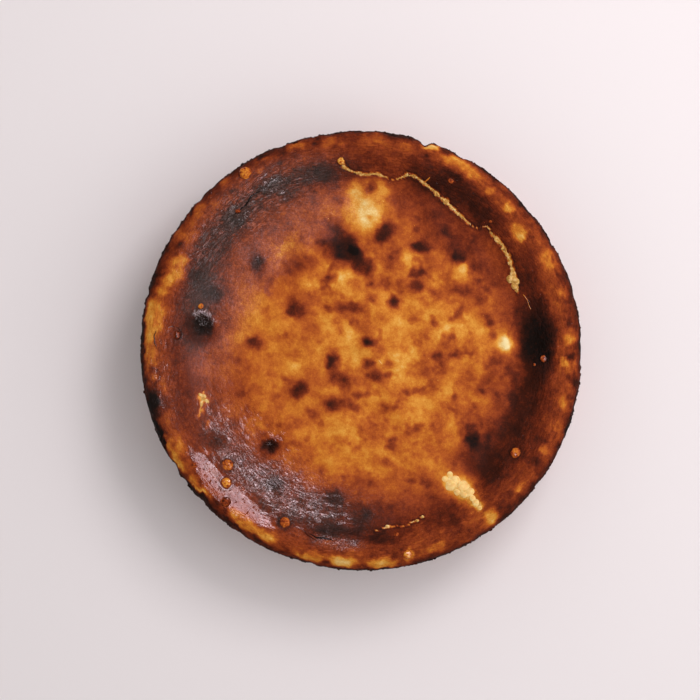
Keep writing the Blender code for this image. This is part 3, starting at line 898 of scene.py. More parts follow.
@dataclass(frozen=True)
class CrustFinish:
    """Baked milk skin: egg, cream and sugar, browned in a very hot oven.

    The sugar gives golden to near-black tones that run into each other in soft clouds. The fat that
    came out while it baked lies on it as a thin coat, so that the wrinkled slope inside the rim
    breaks the light into small hard shards, while the dry middle stays nearly matt. Where the skin
    is hazy, pale greys are mixed into its colour as a painted sheen of the dry skin.
    """

    name: str = "baked_milk_skin"
    cloud_size: float = 9.0 * MM
    spot_size: float = 7.0 * MM
    speckle_size: float = 1.7 * MM
    grain_size: float = 0.7 * MM
    wrinkle_length: float = 3.6 * MM
    wrinkle_width: float = 1.3 * MM
    wrinkle_height: float = 0.11 * MM
    crease_size: float = 1.5 * MM
    crease_height: float = 0.08 * MM
    pit_spacing: float = 1.9 * MM
    pit_depth: float = 0.24 * MM
    grain_height: float = 0.02 * MM
    dry_roughness: float = 0.62
    dry_ior: float = 1.10
    fat_roughness: float = 0.075
    fat_spread: float = 0.30
    fat_sharpness: float = 8.0
    billow_size: float = 2.0 * MM
    billow_height: float = 0.70 * MM
    crag_size: float = 1.35 * MM
    crag_height: float = 0.42 * MM
    crease_share: float = 0.07
    fat_patch_size: float = 1.9 * MM
    ring_radius: float = 88 * MM
    crag_shade: float = 0.45
    # Painted sheen: the pinkish grey and the darker grey below, mixed into the colour by their share where the skin is
    # hazy (the darker one on the charred tones), stand for light reflected off the dry, finely wrinkled skin. The last
    # number makes the grain of tone stronger there.
    sheen_tint: str = "#A87868"
    char_sheen_tint: str = "#8E7870"
    sheen_tint_share: float = 0.40
    haze_grain_gain: float = 3.0

    def make(self) -> bpy.types.Material:
        """Builds the material.

        Returns:
            A material that reads the skin's attributes browning, mottle, gloss, haze, wrinkle and crag.
        """
        material = bpy.data.materials.new(self.name)
        material.use_nodes = True
        tree = material.node_tree
        surface = tree.nodes["Principled BSDF"]
        place = add_node(tree, "ShaderNodeTexCoord").outputs["Object"]
        read = {
            name: add_node(tree, "ShaderNodeAttribute", attribute_name=name).outputs["Fac"]
            for name in ("browning", "mottle", "gloss", "haze", "wrinkle", "crag")
        }

        def maths(operation: str, *values) -> bpy.types.NodeSocket:
            """One step of arithmetic on sockets or numbers."""
            node = add_node(tree, "ShaderNodeMath", dict(enumerate(values)), operation=operation)
            return node.outputs[0]

        def lumps(size: float, detail: float, seed: float, vector=place) -> bpy.types.NodeSocket:
            """Noise about 0 with lumps of a real size."""
            node = add_node(
                tree,
                "ShaderNodeTexNoise",
                {"Vector": vector, "W": seed, "Scale": 1 / size, "Detail": detail, "Roughness": 0.5},
                noise_dimensions="4D",
            )
            return maths("SUBTRACT", node.outputs["Fac"], 0.5)

        split = add_node(tree, "ShaderNodeSeparateXYZ", {"Vector": place})
        seen = {"X": split.outputs["X"], "Y": split.outputs["Y"]}
        flat = add_node(tree, "ShaderNodeCombineXYZ", seen).outputs[0]
        curled = self.stretched(tree, flat)

        spots = maths("MAXIMUM", maths("SUBTRACT", lumps(self.spot_size, 1.0, 1.7), 0.08), 0.0)
        clouds = maths("MULTIPLY", lumps(self.cloud_size, 4.0, 4.1), 0.85)
        mottle = maths("ADD", maths("MULTIPLY", spots, 1.5), clouds)
        grain = maths("MULTIPLY", lumps(self.speckle_size, 3.0, 8.3), 0.20)
        grain = maths("ADD", grain, maths("MULTIPLY", lumps(self.grain_size, 2.0, 2.9), 0.18))
        level = maths("ADD", read["browning"], maths("MULTIPLY", mottle, read["mottle"]))
        # The grain of tone is stronger where the skin is hazy.
        grain_gain = maths("MULTIPLY_ADD", read["haze"], self.haze_grain_gain, 1.0)
        level = maths("MULTIPLY_ADD", grain, grain_gain, level)
        crags = lumps(self.crag_size, 3.0, 7.7, curled)
        level = maths("SUBTRACT", level, maths("MULTIPLY", maths("MULTIPLY", crags, self.crag_shade), read["crag"]))

        ramp = add_node(tree, "ShaderNodeValToRGB", {"Fac": level})
        scale = ramp.color_ramp
        tones = list(Browning)
        while len(scale.elements) < len(tones):
            scale.elements.new(0.5)
        for element, tone in zip(scale.elements, tones):
            element.position = tone.level
            element.color = linear(tone.colour)
        # Painted sheen: where the skin is hazy, its colour is mixed towards pale greys that stand for light reflected
        # off the dry skin.
        sheen_share = maths("MULTIPLY", read["haze"], self.sheen_tint_share)
        skin = add_node(tree, "ShaderNodeMix", {"Factor": sheen_share}, data_type="RGBA")
        tree.links.new(ramp.outputs["Color"], skin.inputs["A"])
        painted_sheen = add_node(tree, "ShaderNodeValToRGB", {"Fac": level})
        for element, place_on, tone in zip(painted_sheen.color_ramp.elements, (0.64, 0.84), (self.sheen_tint, self.char_sheen_tint)):
            element.position = place_on
            element.color = linear(tone)
        tree.links.new(painted_sheen.outputs["Color"], skin.inputs["B"])
        tree.links.new(skin.outputs["Result"], surface.inputs["Base Color"])
        surface.inputs["Roughness"].default_value = self.dry_roughness
        surface.inputs["IOR"].default_value = self.dry_ior

        # The gloss is the share of the skin that patches of fat cover. The haze is a thin even coat, and it also sets
        # how much painted sheen is mixed into the colour.
        spread = maths("MULTIPLY_ADD", read["gloss"], 2 * self.fat_spread, -self.fat_spread)
        patches = lumps(self.fat_patch_size, 4.0, 6.6, curled)
        patches = maths("MULTIPLY", maths("ADD", patches, spread), self.fat_sharpness)
        veil = maths("MULTIPLY", read["haze"], 0.5)
        thin = maths("MAXIMUM", maths("SUBTRACT", read["gloss"], 0.8), 0.0)
        most = maths("MULTIPLY_ADD", thin, -1.5, 1.0)
        fat = add_node(tree, "ShaderNodeClamp", {"Value": maths("MAXIMUM", patches, veil), "Max": most})
        tree.links.new(fat.outputs[0], surface.inputs["Coat Weight"])
        surface.inputs["Coat Roughness"].default_value = self.fat_roughness

        height = self.relief(tree, flat, curled, read, maths, lumps)
        bump = add_node(tree, "ShaderNodeBump", {"Height": height, "Strength": 1.0, "Distance": MM})
        tree.links.new(bump.outputs["Normal"], surface.inputs["Normal"])
        tree.links.new(bump.outputs["Normal"], surface.inputs["Coat Normal"])
        return material

    def stretched(self, tree: bpy.types.NodeTree, flat: bpy.types.NodeSocket) -> bpy.types.NodeSocket:
        """Places pulled together round the cake, so that a pattern on them runs along the rim.

        Args:
            tree: The material's tree.
            flat: The socket with the place seen from above.

        Returns:
            The socket with the stretched place.
        """
        heading = add_node(tree, "ShaderNodeVectorMath", {0: flat}, operation="NORMALIZE")
        reach = add_node(tree, "ShaderNodeVectorMath", {0: flat}, operation="LENGTH")
        squeezed = self.ring_radius * self.wrinkle_width / self.wrinkle_length
        around = add_node(
            tree,
            "ShaderNodeVectorMath",
            {0: heading.outputs["Vector"], "Scale": squeezed},
            operation="SCALE",
        )
        parts = add_node(tree, "ShaderNodeSeparateXYZ", {"Vector": around.outputs["Vector"]})
        joined = {"X": parts.outputs["X"], "Y": parts.outputs["Y"], "Z": reach.outputs["Value"]}
        return add_node(tree, "ShaderNodeCombineXYZ", joined).outputs[0]

    def relief(
        self,
        tree: bpy.types.NodeTree,
        flat: bpy.types.NodeSocket,
        curled: bpy.types.NodeSocket,
        read: dict[str, bpy.types.NodeSocket],
        maths: Callable[..., bpy.types.NodeSocket],
        lumps: Callable[..., bpy.types.NodeSocket],
    ) -> bpy.types.NodeSocket:
        """Wrinkles that run round the cake, crags, small pits and a fine grain.

        Args:
            tree: The material's tree.
            flat: The socket with the place seen from above.
            curled: The socket with the place stretched round the cake.
            read: The sockets that give the skin's attributes.
            maths: Adds a step of arithmetic.
            lumps: Adds noise of a real size.

        Returns:
            The height over the skin in millimetres.
        """
        def plates(noise_value: bpy.types.NodeSocket, depth: float) -> bpy.types.NodeSocket:
            """Flat plates parted by narrow creases, depth under them in millimetres."""
            away = maths("ABSOLUTE", noise_value)
            rise = add_node(
                tree,
                "ShaderNodeMapRange",
                {"Value": away, "From Max": self.crease_share, "To Max": depth / MM},
                interpolation_type="SMOOTHSTEP",
            )
            return maths("MULTIPLY_ADD", away, 1.2 * depth / MM, rise.outputs[0])

        folds = plates(lumps(self.wrinkle_width, 2.0, 5.2, curled), self.wrinkle_height)
        folds = maths("ADD", folds, plates(lumps(self.crease_size, 2.0, 3.3), self.crease_height))
        billows = maths("MULTIPLY", lumps(self.billow_size, 1.0, 6.1, curled), self.billow_height / MM)
        folds = maths("ADD", folds, billows)
        pits = add_node(
            tree,
            "ShaderNodeTexVoronoi",
            {"Vector": flat, "Scale": 1 / self.pit_spacing, "Randomness": 1.0},
            feature="F1",
        )
        pit = add_node(
            tree,
            "ShaderNodeMapRange",
            {
                "Value": pits.outputs["Distance"],
                "From Min": 0.08,
                "From Max": 0.30,
                "To Min": -self.pit_depth / MM,
                "To Max": 0.0,
            },
            interpolation_type="SMOOTHSTEP",
        )
        height = maths("MULTIPLY", folds, read["wrinkle"])
        height = maths("ADD", height, maths("MULTIPLY", pit.outputs[0], read["gloss"]))
        crags = maths("MULTIPLY", plates(lumps(self.crag_size, 3.0, 7.7, curled), self.crag_height), read["crag"])
        height = maths("ADD", height, crags)
        for char in CHAR_PITS:
            middle = (char.x * MM, char.y * MM, 0.0)
            aside = add_node(tree, "ShaderNodeVectorMath", {0: flat, 1: middle}, operation="SUBTRACT")
            away = add_node(tree, "ShaderNodeVectorMath", {0: aside.outputs[0]}, operation="LENGTH")
            axes = add_node(tree, "ShaderNodeSeparateXYZ", {"Vector": aside.outputs[0]})
            turn = maths("ARCTAN2", axes.outputs["Y"], axes.outputs["X"])
            sway = maths("MULTIPLY", lumps(self.cloud_size / 3, 3.0, char.folds), 16.0)
            crease = maths("COSINE", maths("MULTIPLY_ADD", turn, float(char.folds), sway))
            crease = maths("MULTIPLY", crease, maths("MULTIPLY_ADD", lumps(3 * MM, 1.0, 0.7 * char.folds), 3.0, 0.8))
            shows = add_node(
                tree,
                "ShaderNodeMapRange",
                {"Value": away.outputs["Value"], "From Min": 1.1 * char.radius * MM, "From Max": 0.3 * char.radius * MM},
                interpolation_type="SMOOTHSTEP",
            )
            ridge = maths("MULTIPLY", maths("MULTIPLY", crease, shows.outputs[0]), 0.5 * char.fold_height)
            height = maths("ADD", height, ridge)
        return maths("ADD", height, maths("MULTIPLY", lumps(self.grain_size, 2.0, 9.4), 2 * self.grain_height / MM))


@dataclass(frozen=True)
class CurdFinish:
    """Bare baked curd: cream cheese that set before it browned, pale, matt and crumbly."""

    name: str = "bare_curd"
    pale: str = "#F6D898"
    cream: str = "#CB9A4E"
    toasted: str = "#8A5226"
    crumb_size: float = 0.8 * MM
    crumb_height: float = 0.03 * MM
    roughness: float = 0.62
    ior: float = 1.12
    translucence: float = 0.2
    light_reach: float = 0.4 * MM

    def make(self) -> bpy.types.Material:
        """Builds the material, which reads the curd's attribute tone."""
        material = bpy.data.materials.new(self.name)
        material.use_nodes = True
        tree = material.node_tree
        surface = tree.nodes["Principled BSDF"]
        place = add_node(tree, "ShaderNodeTexCoord").outputs["Object"]
        tone = add_node(tree, "ShaderNodeAttribute", attribute_name="tone").outputs["Fac"]
        ramp = add_node(tree, "ShaderNodeValToRGB", {"Fac": tone})
        ramp.color_ramp.elements[0].color = linear(self.pale)
        ramp.color_ramp.elements[1].color = linear(self.toasted)
        ramp.color_ramp.elements.new(0.45).color = linear(self.cream)
        tree.links.new(ramp.outputs["Color"], surface.inputs["Base Color"])
        surface.inputs["Roughness"].default_value = self.roughness
        surface.inputs["IOR"].default_value = self.ior
        surface.inputs["Subsurface Weight"].default_value = self.translucence
        surface.inputs["Subsurface Radius"].default_value = (1.0, 0.6, 0.3)
        surface.inputs["Subsurface Scale"].default_value = self.light_reach
        crumbs = add_node(tree, "ShaderNodeTexNoise", {"Vector": place, "Scale": 1 / self.crumb_size, "Detail": 3.0})
        bump = add_node(
            tree,
            "ShaderNodeBump",
            {"Height": crumbs.outputs["Fac"], "Strength": 1.0, "Distance": 2 * self.crumb_height},
        )
        tree.links.new(bump.outputs["Normal"], surface.inputs["Normal"])
        return material


class GrowthTree:
    """A Geometry Nodes tree with named sizes, run once on a piece and then made plain mesh."""

    def __init__(self, name: str) -> None:
        """Starts an empty tree.

        Args:
            name: The tree's name.
        """
        self.tree = bpy.data.node_groups.new(name, "GeometryNodeTree")
        self.values: dict[str, float | int] = {}
        for way in ("INPUT", "OUTPUT"):
            self.tree.interface.new_socket("Geometry", in_out=way, socket_type="NodeSocketGeometry")
        self.entry = self.tree.nodes.new("NodeGroupInput")

    def size(self, name: str, value: float | int) -> bpy.types.NodeSocket:
        """Adds a named input.

        Args:
            name: What it sizes.
            value: Its value. A whole number makes a whole-number input.

        Returns:
            The socket that gives it inside the tree.
        """
        kind = "NodeSocketInt" if isinstance(value, int) else "NodeSocketFloat"
        socket = self.tree.interface.new_socket(name, in_out="INPUT", socket_type=kind)
        self.values[socket.identifier] = value
        return self.entry.outputs[name]

    def node(self, kind: str, inputs: dict | None = None, **settings) -> bpy.types.Node:
        """Adds a node to the tree."""
        return add_node(self.tree, kind, inputs, **settings)

    def maths(self, operation: str, *values) -> bpy.types.NodeSocket:
        """One step of arithmetic on sockets or numbers."""
        return self.node("ShaderNodeMath", dict(enumerate(values)), operation=operation).outputs[0]

    def named(self, name: str) -> bpy.types.NodeSocket:
        """Reads a value stored on the points."""
        return self.node("GeometryNodeInputNamedAttribute", {"Name": name}, data_type="FLOAT").outputs[0]

    def scaled(self, vector: bpy.types.NodeSocket, share: bpy.types.NodeSocket) -> bpy.types.NodeSocket:
        """A vector made longer or shorter."""
        return self.node("ShaderNodeVectorMath", {0: vector, "Scale": share}, operation="SCALE").outputs[0]

    def store(self, geometry: bpy.types.NodeSocket, **values) -> bpy.types.NodeSocket:
        """Stores values on the points and shades the mesh smooth."""
        for name, value in values.items():
            kept = {"Geometry": geometry, "Name": name, "Value": value}
            settings = {"data_type": "FLOAT", "domain": "POINT"}
            geometry = self.node("GeometryNodeStoreNamedAttribute", kept, **settings).outputs[0]
        return self.node("GeometryNodeSetShadeSmooth", {"Geometry": geometry}).outputs[0]

    def close(self, geometry: bpy.types.NodeSocket, material: bpy.types.Material) -> None:
        """Ends the tree in real mesh with its material."""
        real = self.node("GeometryNodeRealizeInstances", {"Geometry": geometry})
        dressed = self.node("GeometryNodeSetMaterial", {"Geometry": real.outputs[0], "Material": material})
        self.node("NodeGroupOutput", {0: dressed.outputs[0]})

    def grow(self, seed_piece: bpy.types.Object, name: str) -> bpy.types.Object:
        """Runs the tree on a piece and keeps the plain result.

        Args:
            seed_piece: The object that the tree starts from. It is removed.
            name: The finished piece's name.

        Returns:
            The finished piece, at the origin.
        """
        modifier = seed_piece.modifiers.new(self.tree.name, "NODES")
        modifier.node_group = self.tree
        for identifier, value in self.values.items():
            modifier[identifier] = value
        graph = bpy.context.evaluated_depsgraph_get()
        data = bpy.data.meshes.new_from_object(seed_piece.evaluated_get(graph))
        seed_piece.modifiers.remove(modifier)
        bpy.data.objects.remove(seed_piece)
        data.name = name
        return put_mesh(name, data)


@dataclass
class CakeSkin:
    """The whole cake as one closed skin, fine enough for its cracks, hollows and creases."""

    form: CakeForm
    paths: list[SplitPath]
    finish: bpy.types.Material
    ring_points: int = 768
    least_step: float = 0.55 * MM
    top_rings: int = 128
    shoulder_rings: int = 12
    side_rings: int = 24
    foot_rings: int = 4
    underside_rings: int = 9
    moat_depth: float = 0.22 * MM
    rag_height: float = 0.55 * MM
    rag_spacing: float = 2.6 * MM
    ripple_height: float = 0.16 * MM
    ripple_spacing: float = 3.2 * MM
    lip_height: float = 0.25 * MM
    rings: list[np.ndarray] = field(default_factory=list)

    def angles(self, count: int) -> np.ndarray:
        """Even angles round a ring."""
        return 2 * np.pi * np.arange(count) / count

    def count_at(self, radius: float) -> int:
        """How many points a flat ring has, halved until they don't crowd."""
        count = self.ring_points
        while 2 * np.pi * radius / count < self.least_step and count > 6:
            count //= 2
        return count

    def top_ring(self, radius: float) -> np.ndarray:
        """One ring of the top, split where the skin tore."""
        angle = self.angles(self.count_at(radius))
        x, y = radius * np.cos(angle), radius * np.sin(angle)
        height = self.form.skin_height(x, y)
        points = np.column_stack([x, y, height])
        slope = ease((radius / self.form.radius - 0.5) / 0.25)
        height = height + self.ripple_height * (0.35 + 0.65 * slope) * noise_at(points, self.ripple_spacing, 2.0)
        for blister in BLISTERS:
            gap = np.hypot(x - blister.x * MM, y - blister.y * MM) / (blister.radius * MM)
            height = height - self.moat_depth * np.exp(-(((gap - 1.15) / 0.35) ** 2))
        for pit in CHAR_PITS:
            gap = np.hypot(x - pit.x * MM, y - pit.y * MM) / (pit.radius * MM)
            upward = 0.5 + 0.5 * np.sin(np.arctan2(y - pit.y * MM, x - pit.x * MM) + 0.3)
            height = height + pit.lip_height * MM * upward**2 * np.exp(-(((gap - 0.75) / 0.22) ** 2))
            height = height - pit.fold_height * MM * (1 - ease(gap / 0.7))
        for path in self.paths:
            gap, half = path.distance(x, y)
            inside = 1 - ease(gap / (half * 1.25))
            lip = np.exp(-(((gap - half * 1.6) / (0.7 * MM)) ** 2))
            height = height - path.split.depth * MM * inside + self.lip_height * lip
        return np.column_stack([x, y, height])

    def shoulder_ring(self, share: float) -> np.ndarray:
        """One ring of the quarter-round shoulder, from the crest at 0 to the side at 1."""
        angle = self.angles(self.ring_points)
        turn = share * math.pi / 2
        cos, sin = np.cos(angle), np.sin(angle)
        crest = self.form.crest
        crest_height = self.form.skin_height(crest * cos, crest * sin)
        radius = crest + (self.form.edge_radius(angle) - crest) * math.sin(turn)
        height = crest_height - self.form.shoulder_drop * (1 - math.cos(turn))
        points = np.column_stack([radius * cos, radius * sin, height])
        radius = radius + share * self.form.crag(points) + ease(share / 0.5) * self.rag(points)
        height = height + 0.5 * ease(share / 0.5) * self.rag(points[:, ::-1])
        return np.column_stack([radius * cos, radius * sin, height])

    def rag(self, points: np.ndarray) -> np.ndarray:
        """Ragged edge of the burnt crust."""
        coarse = noise_at(points, self.rag_spacing, 80.0)
        return self.rag_height * (0.6 * coarse + 0.4 * noise_at(points, self.rag_spacing / 2, 81.0))

    def side_ring(self, share: float) -> np.ndarray:
        """One ring of the side, from under the shoulder at 0 to the foot's rounding at 1."""
        form = self.form
        angle = self.angles(self.ring_points)
        cos, sin = np.cos(angle), np.sin(angle)
        top = form.skin_height(form.crest * cos, form.crest * sin) - form.shoulder_drop
        height = top + (form.foot_round - top) * share
        radius = form.edge_radius(angle) - form.waist * math.sin(math.pi * share) - form.foot_inset * share
        points = np.column_stack([radius * cos, radius * sin, height])
        radius = radius + form.crag(points) + (1 - ease(share / 0.6)) * self.rag(points)
        return np.column_stack([radius * cos, radius * sin, height])

    def foot_ring(self, share: float) -> np.ndarray:
        """One ring of the rounded foot, from the side at 0 to the flat underside at 1."""
        form = self.form
        angle = self.angles(self.ring_points)
        turn = share * math.pi / 2
        radius = form.edge_radius(angle) - form.foot_inset - form.foot_round * (1 - math.cos(turn))
        height = np.full(len(angle), form.foot_round * (1 - math.sin(turn)))
        points = np.column_stack([radius * np.cos(angle), radius * np.sin(angle), height])
        radius = radius + (1 - share) * form.crag(points)
        return np.column_stack([radius * np.cos(angle), radius * np.sin(angle), height])

    def underside_ring(self, share: float) -> np.ndarray:
        """One flat ring of the underside, from its edge at 0 inwards."""
        edge = self.form.radius - self.form.foot_inset - self.form.foot_round
        radius = edge * (1 - share)
        angle = self.angles(self.count_at(radius))
        return np.column_stack([radius * np.cos(angle), radius * np.sin(angle), np.zeros(len(angle))])

    def lay_rings(self) -> None:
        """Works out all rings, from the middle of the top to the middle of the underside."""
        crest = self.form.crest
        self.rings = [self.top_ring(crest * (k + 1) / self.top_rings) for k in range(self.top_rings)]
        self.rings += [self.shoulder_ring((k + 1) / self.shoulder_rings) for k in range(self.shoulder_rings)]
        self.rings += [self.side_ring((k + 1) / self.side_rings) for k in range(self.side_rings)]
        self.rings += [self.foot_ring((k + 1) / self.foot_rings) for k in range(self.foot_rings)]
        span = self.underside_rings + 1
        self.rings += [self.underside_ring((k + 0.6) / span) for k in range(self.underside_rings)]

    def faces_between(self, start_a: int, count_a: int, start_b: int, count_b: int) -> list[tuple[int, ...]]:
        """Faces between two neighbouring rings, of which one may have twice, or more, as many points.

        Args:
            start_a: Number of the first ring's first point.
            count_a: How many points the first ring has.
            start_b: Number of the second ring's first point.
            count_b: How many points the second ring has.

        Returns:
            The faces, each as point numbers.
        """
        if count_a > count_b:
            return [face[::-1] for face in self.faces_between(start_b, count_b, start_a, count_a)]
        times = count_b // count_a
        made: list[tuple[int, ...]] = []
        for index in range(count_a):
            corner, after = start_a + index, start_a + (index + 1) % count_a
            arc = [start_b + (index * times + k) % count_b for k in range(times + 1)]
            if times == 1:
                made.append((corner, arc[0], arc[1], after))
                continue
            middle = times // 2
            made += [(corner if k < middle else after, arc[k], arc[k + 1]) for k in range(times)]
            made.append((corner, arc[middle], after))
        return made

    def build(self) -> bpy.types.Object:
        """Builds the skin, its attributes and its bake map."""
        self.lay_rings()
        middle_height = self.form.skin_height(np.zeros(1), np.zeros(1))[0]
        points = np.vstack([[[0.0, 0.0, middle_height]], *self.rings, [[0.0, 0.0, 0.0]]])
        starts = [1]
        for ring in self.rings:
            starts.append(starts[-1] + len(ring))
        faces: list[tuple[int, ...]] = []
        first, last = len(self.rings[0]), len(self.rings[-1])
        faces += [(0, 1 + k, 1 + (k + 1) % first) for k in range(first)]
        for index in range(len(self.rings) - 1):
            sizes = len(self.rings[index]), len(self.rings[index + 1])
            faces += self.faces_between(starts[index], sizes[0], starts[index + 1], sizes[1])
        end = starts[-1]
        faces += [(end, starts[-2] + (k + 1) % last, starts[-2] + k) for k in range(last)]
        data = bpy.data.meshes.new("cake_skin")
        data.from_pydata(points.tolist(), [], faces)
        data.validate()
        data.shade_smooth()
        self.paint(data, points)
        self.lay_bake_map(data, points)
        data.materials.append(self.finish)
        return put_mesh("cake_skin", data)

    def paint(self, data: bpy.types.Mesh, points: np.ndarray) -> None:
        """Stores browning, mottle, gloss and wrinkle on the skin's points."""
        form = self.form
        tones = SkinTones(form)
        radius = np.hypot(points[:, 0], points[:, 1])
        angle = np.arctan2(points[:, 1], points[:, 0])
        share = radius / form.radius
        shoulder_end = 1 + sum(len(ring) for ring in self.rings[: self.top_rings + self.shoulder_rings])
        is_top = np.arange(len(points)) < shoulder_end
        level = np.full(len(points), 0.5)
        level[is_top] = tones.top(points[is_top])

        # The burnt edge: what of the shoulder is steep, seen from above as a thin dark line.
        outside = is_top & (radius > form.crest)
        inset = form.edge_radius(angle[outside]) - radius[outside]
        reach = 0.6 * MM + 0.55 * MM * noise_at(points[outside], 6.0 * MM, 60.0)
        reach = reach + 0.6 * MM * noise_at(points[outside], 1.9 * MM, 61.0)
        for strip in CHAR_STRIPS:
            turned = apart(angle[outside], math.radians(strip.angle)) / math.radians(strip.half_spread)
            reach = reach + strip.reach * MM * (1 - ease(turned)) * (1 + 0.5 * noise_at(points[outside], 3 * MM, 62.0))
        burnt = ease((reach - inset) / (0.7 * MM) + 0.5)
        char = 0.88 + 0.10 * noise_at(points[outside], 2.2 * MM, 63.0)
        level[outside] += (char - level[outside]) * burnt

        # The side: nearly black under the shoulder, brown below, with pale rubbed streaks.
        side = ~is_top & (points[:, 2] > 0.2 * MM)
        around = np.column_stack([angle * 30, points[:, 2] / (40 * MM), share])
        height_share = points[:, 2] / (form.rim_height - form.shoulder_drop)
        streaks = noise_at(around[side], 1.0, 5.0)
        blots = noise_at(points[side], 14 * MM, 9.0) + 0.6 * noise_at(points[side], 5 * MM, 33.0)
        level[side] = 0.59 + 0.36 * ease((height_share[side] - 0.55) / 0.4) + 0.07 * streaks + 0.13 * blots

        under = ~is_top & ~side
        toast = noise_at(points[under], 22 * MM, 70.0) + 0.5 * noise_at(points[under], 7 * MM, 71.0)
        level[under] = 0.47 + 0.10 * toast + 0.16 * ease((share[under] - 0.75) / 0.2)

        for path in self.paths:
            gap, half = path.distance(points[:, 0], points[:, 1])
            toasted = np.exp(-(((gap - 1.5 * half) / (0.6 * MM)) ** 2))
            level = np.where(is_top, level + 0.12 * toasted, level)
            bare = 1 - ease((gap / half - 0.7) / 0.7)
            level = np.where(is_top, level + (0.24 - level) * bare, level)

        mottle = 0.9 - 0.5 * ease((share - 0.5) / 0.25) + 0.42 * ease((share - 0.9) / 0.05)
        left = ease((-points[:, 0] - 5 * MM) / (45 * MM))
        mottle = mottle * (1 - 0.35 * left * (share < 0.9))
        mottle = np.where(level < 0.2, mottle * 0.5, mottle)

        pool, film, splashes, haze, flank, leather, glaze = (
            stretch.weight(angle, radius) for stretch in (POOL, FILM, SPLASHES, HAZE, FLANK, LEATHER, GLAZE)
        )
        pool = np.maximum(pool, glaze)
        ring = 1 - ease((np.abs(radius - 100 * MM) - 6 * MM) / (10 * MM))
        shine = (1.1 * film, 0.70 * pool, 0.45 * splashes, 0.42 * flank, 0.50 * leather, 0.14 * ring)
        gloss = np.maximum.reduce(shine)
        # The haze gives a thin even coat and sets the painted sheen that is mixed into the colour.
        hazy = np.maximum.reduce((0.32 * haze, 0.40 * leather, 0.10 * flank, 0.22 * pool * (1 - film)))
        folded = (pool, 0.7 * splashes, 0.6 * haze, 0.5 * flank, 0.4 * ring)
        wrinkle = (0.15 + np.maximum.reduce(folded)) * (1 - 0.82 * film)
        crag = np.maximum.reduce((leather, 0.6 * flank, 0.5 * ring)) * (1 - 0.8 * film)
        for blister in BLISTERS:
            gap = np.hypot(points[:, 0] - blister.x * MM, points[:, 1] - blister.y * MM)
            gloss = gloss * ease((gap / (blister.radius * MM) - 0.9) / 0.3)
        for pit in CHAR_PITS:
            aside, above = points[:, 0] - pit.x * MM, points[:, 1] - pit.y * MM
            gap = np.hypot(aside, above) / (pit.radius * MM)
            inside = 1 - ease((gap - 0.8) / 0.65)
            upward = 0.5 + 0.5 * np.sin(np.arctan2(above, aside) + 0.2)
            gloss = gloss + (0.15 + pit.shine * upward**3 - gloss) * inside
            hazy = hazy * (1 - 2 * pit.fold_height * inside)
        for values, below, beside in ((gloss, 0.1, 0.12), (wrinkle, 0.3, 0.5), (crag, 0.1, 0.8), (hazy, 0, 0.1)):
            values[under] = below
            values[side] = beside
        edge = np.exp(-(((radius - form.radius) / (2.2 * MM)) ** 2))
        flaky = np.where(points[:, 2] > 30 * MM, edge, 0.12 * edge) * (level > 0.72)
        flaky[under] = 0
        crumbly = np.where(is_top, 0.25 + 0.75 * ease((share - 0.7) / 0.15), 0.0)
        beaded = np.where(is_top, gloss * ease((share - 0.45) / 0.2), 0.0)
        layers = {
            "browning": level,
            "mottle": mottle,
            "gloss": gloss,
            "haze": hazy,
            "wrinkle": wrinkle,
            "crag": crag,
            FLAKY: flaky,
            CRUMBLY: crumbly,
            BEADED: beaded,
        }
        for name, values in layers.items():
            layer = data.attributes.new(name, "FLOAT", "POINT")
            layer.data.foreach_set("value", values.astype(np.float32))

    def lay_bake_map(self, data: bpy.types.Mesh, points: np.ndarray) -> None:
        """Lays the skin flat for baking: the top as a disc, the side as two strips, the underside small."""
        total = len(data.loops)
        corner = np.empty(total, dtype=np.int64)
        data.loops.foreach_get("vertex_index", corner)
        starts = np.empty(len(data.polygons), dtype=np.int64)
        sizes = np.empty(len(data.polygons), dtype=np.int64)
        data.polygons.foreach_get("loop_start", starts)
        data.polygons.foreach_get("loop_total", sizes)
        face_of = np.repeat(np.arange(len(starts)), sizes)
        bounds = np.cumsum([1] + [len(ring) for ring in self.rings])
        top_end = bounds[self.top_rings + self.shoulder_rings]
        side_end = bounds[self.top_rings + self.shoulder_rings + self.side_rings + self.foot_rings]
        most = np.maximum.reduceat(corner, starts)
        kind = np.where(most < top_end, 0, np.where(most < side_end, 1, 2))[face_of]
        radius = np.hypot(points[:, 0], points[:, 1])
        angle = np.arctan2(points[:, 1], points[:, 0]) % (2 * np.pi)
        drop = np.clip(self.form.rim_height - points[:, 2], 0, 1)
        spread = np.where(np.arange(len(points)) < top_end, radius + np.where(radius > self.form.crest, drop, 0), radius)
        disc = 0.32 / spread[:top_end].max()
        u = np.empty(total)
        v = np.empty(total)
        on_top = kind == 0
        u[on_top] = 0.33 + disc * spread[corner][on_top] * np.cos(angle[corner][on_top])
        v[on_top] = 0.66 + disc * spread[corner][on_top] * np.sin(angle[corner][on_top])
        below = kind == 2
        small = 0.155 / self.form.radius
        u[below] = 0.83 + small * radius[corner][below] * np.cos(angle[corner][below])
        v[below] = 0.83 + small * radius[corner][below] * np.sin(angle[corner][below])
        on_side = kind == 1
        face_angle = np.maximum.reduceat(angle[corner], starts)[face_of]
        turn = angle[corner]
        turn = np.where((face_angle - turn > np.pi), turn + 2 * np.pi, turn)
        lowest = np.minimum.reduceat(turn, starts)[face_of]
        strip = (lowest >= np.pi).astype(float)
        u[on_side] = (0.01 + 0.97 * (turn - strip * np.pi) / np.pi)[on_side]
        tall = points[:, 2].max()
        v[on_side] = (0.02 + 0.155 * strip + 0.13 * points[corner, 2] / tall)[on_side]
        layer = data.uv_layers.new(name=BAKE_MAP)
        layer.data.foreach_set("uv", np.column_stack([u, v]).astype(np.float32).ravel())


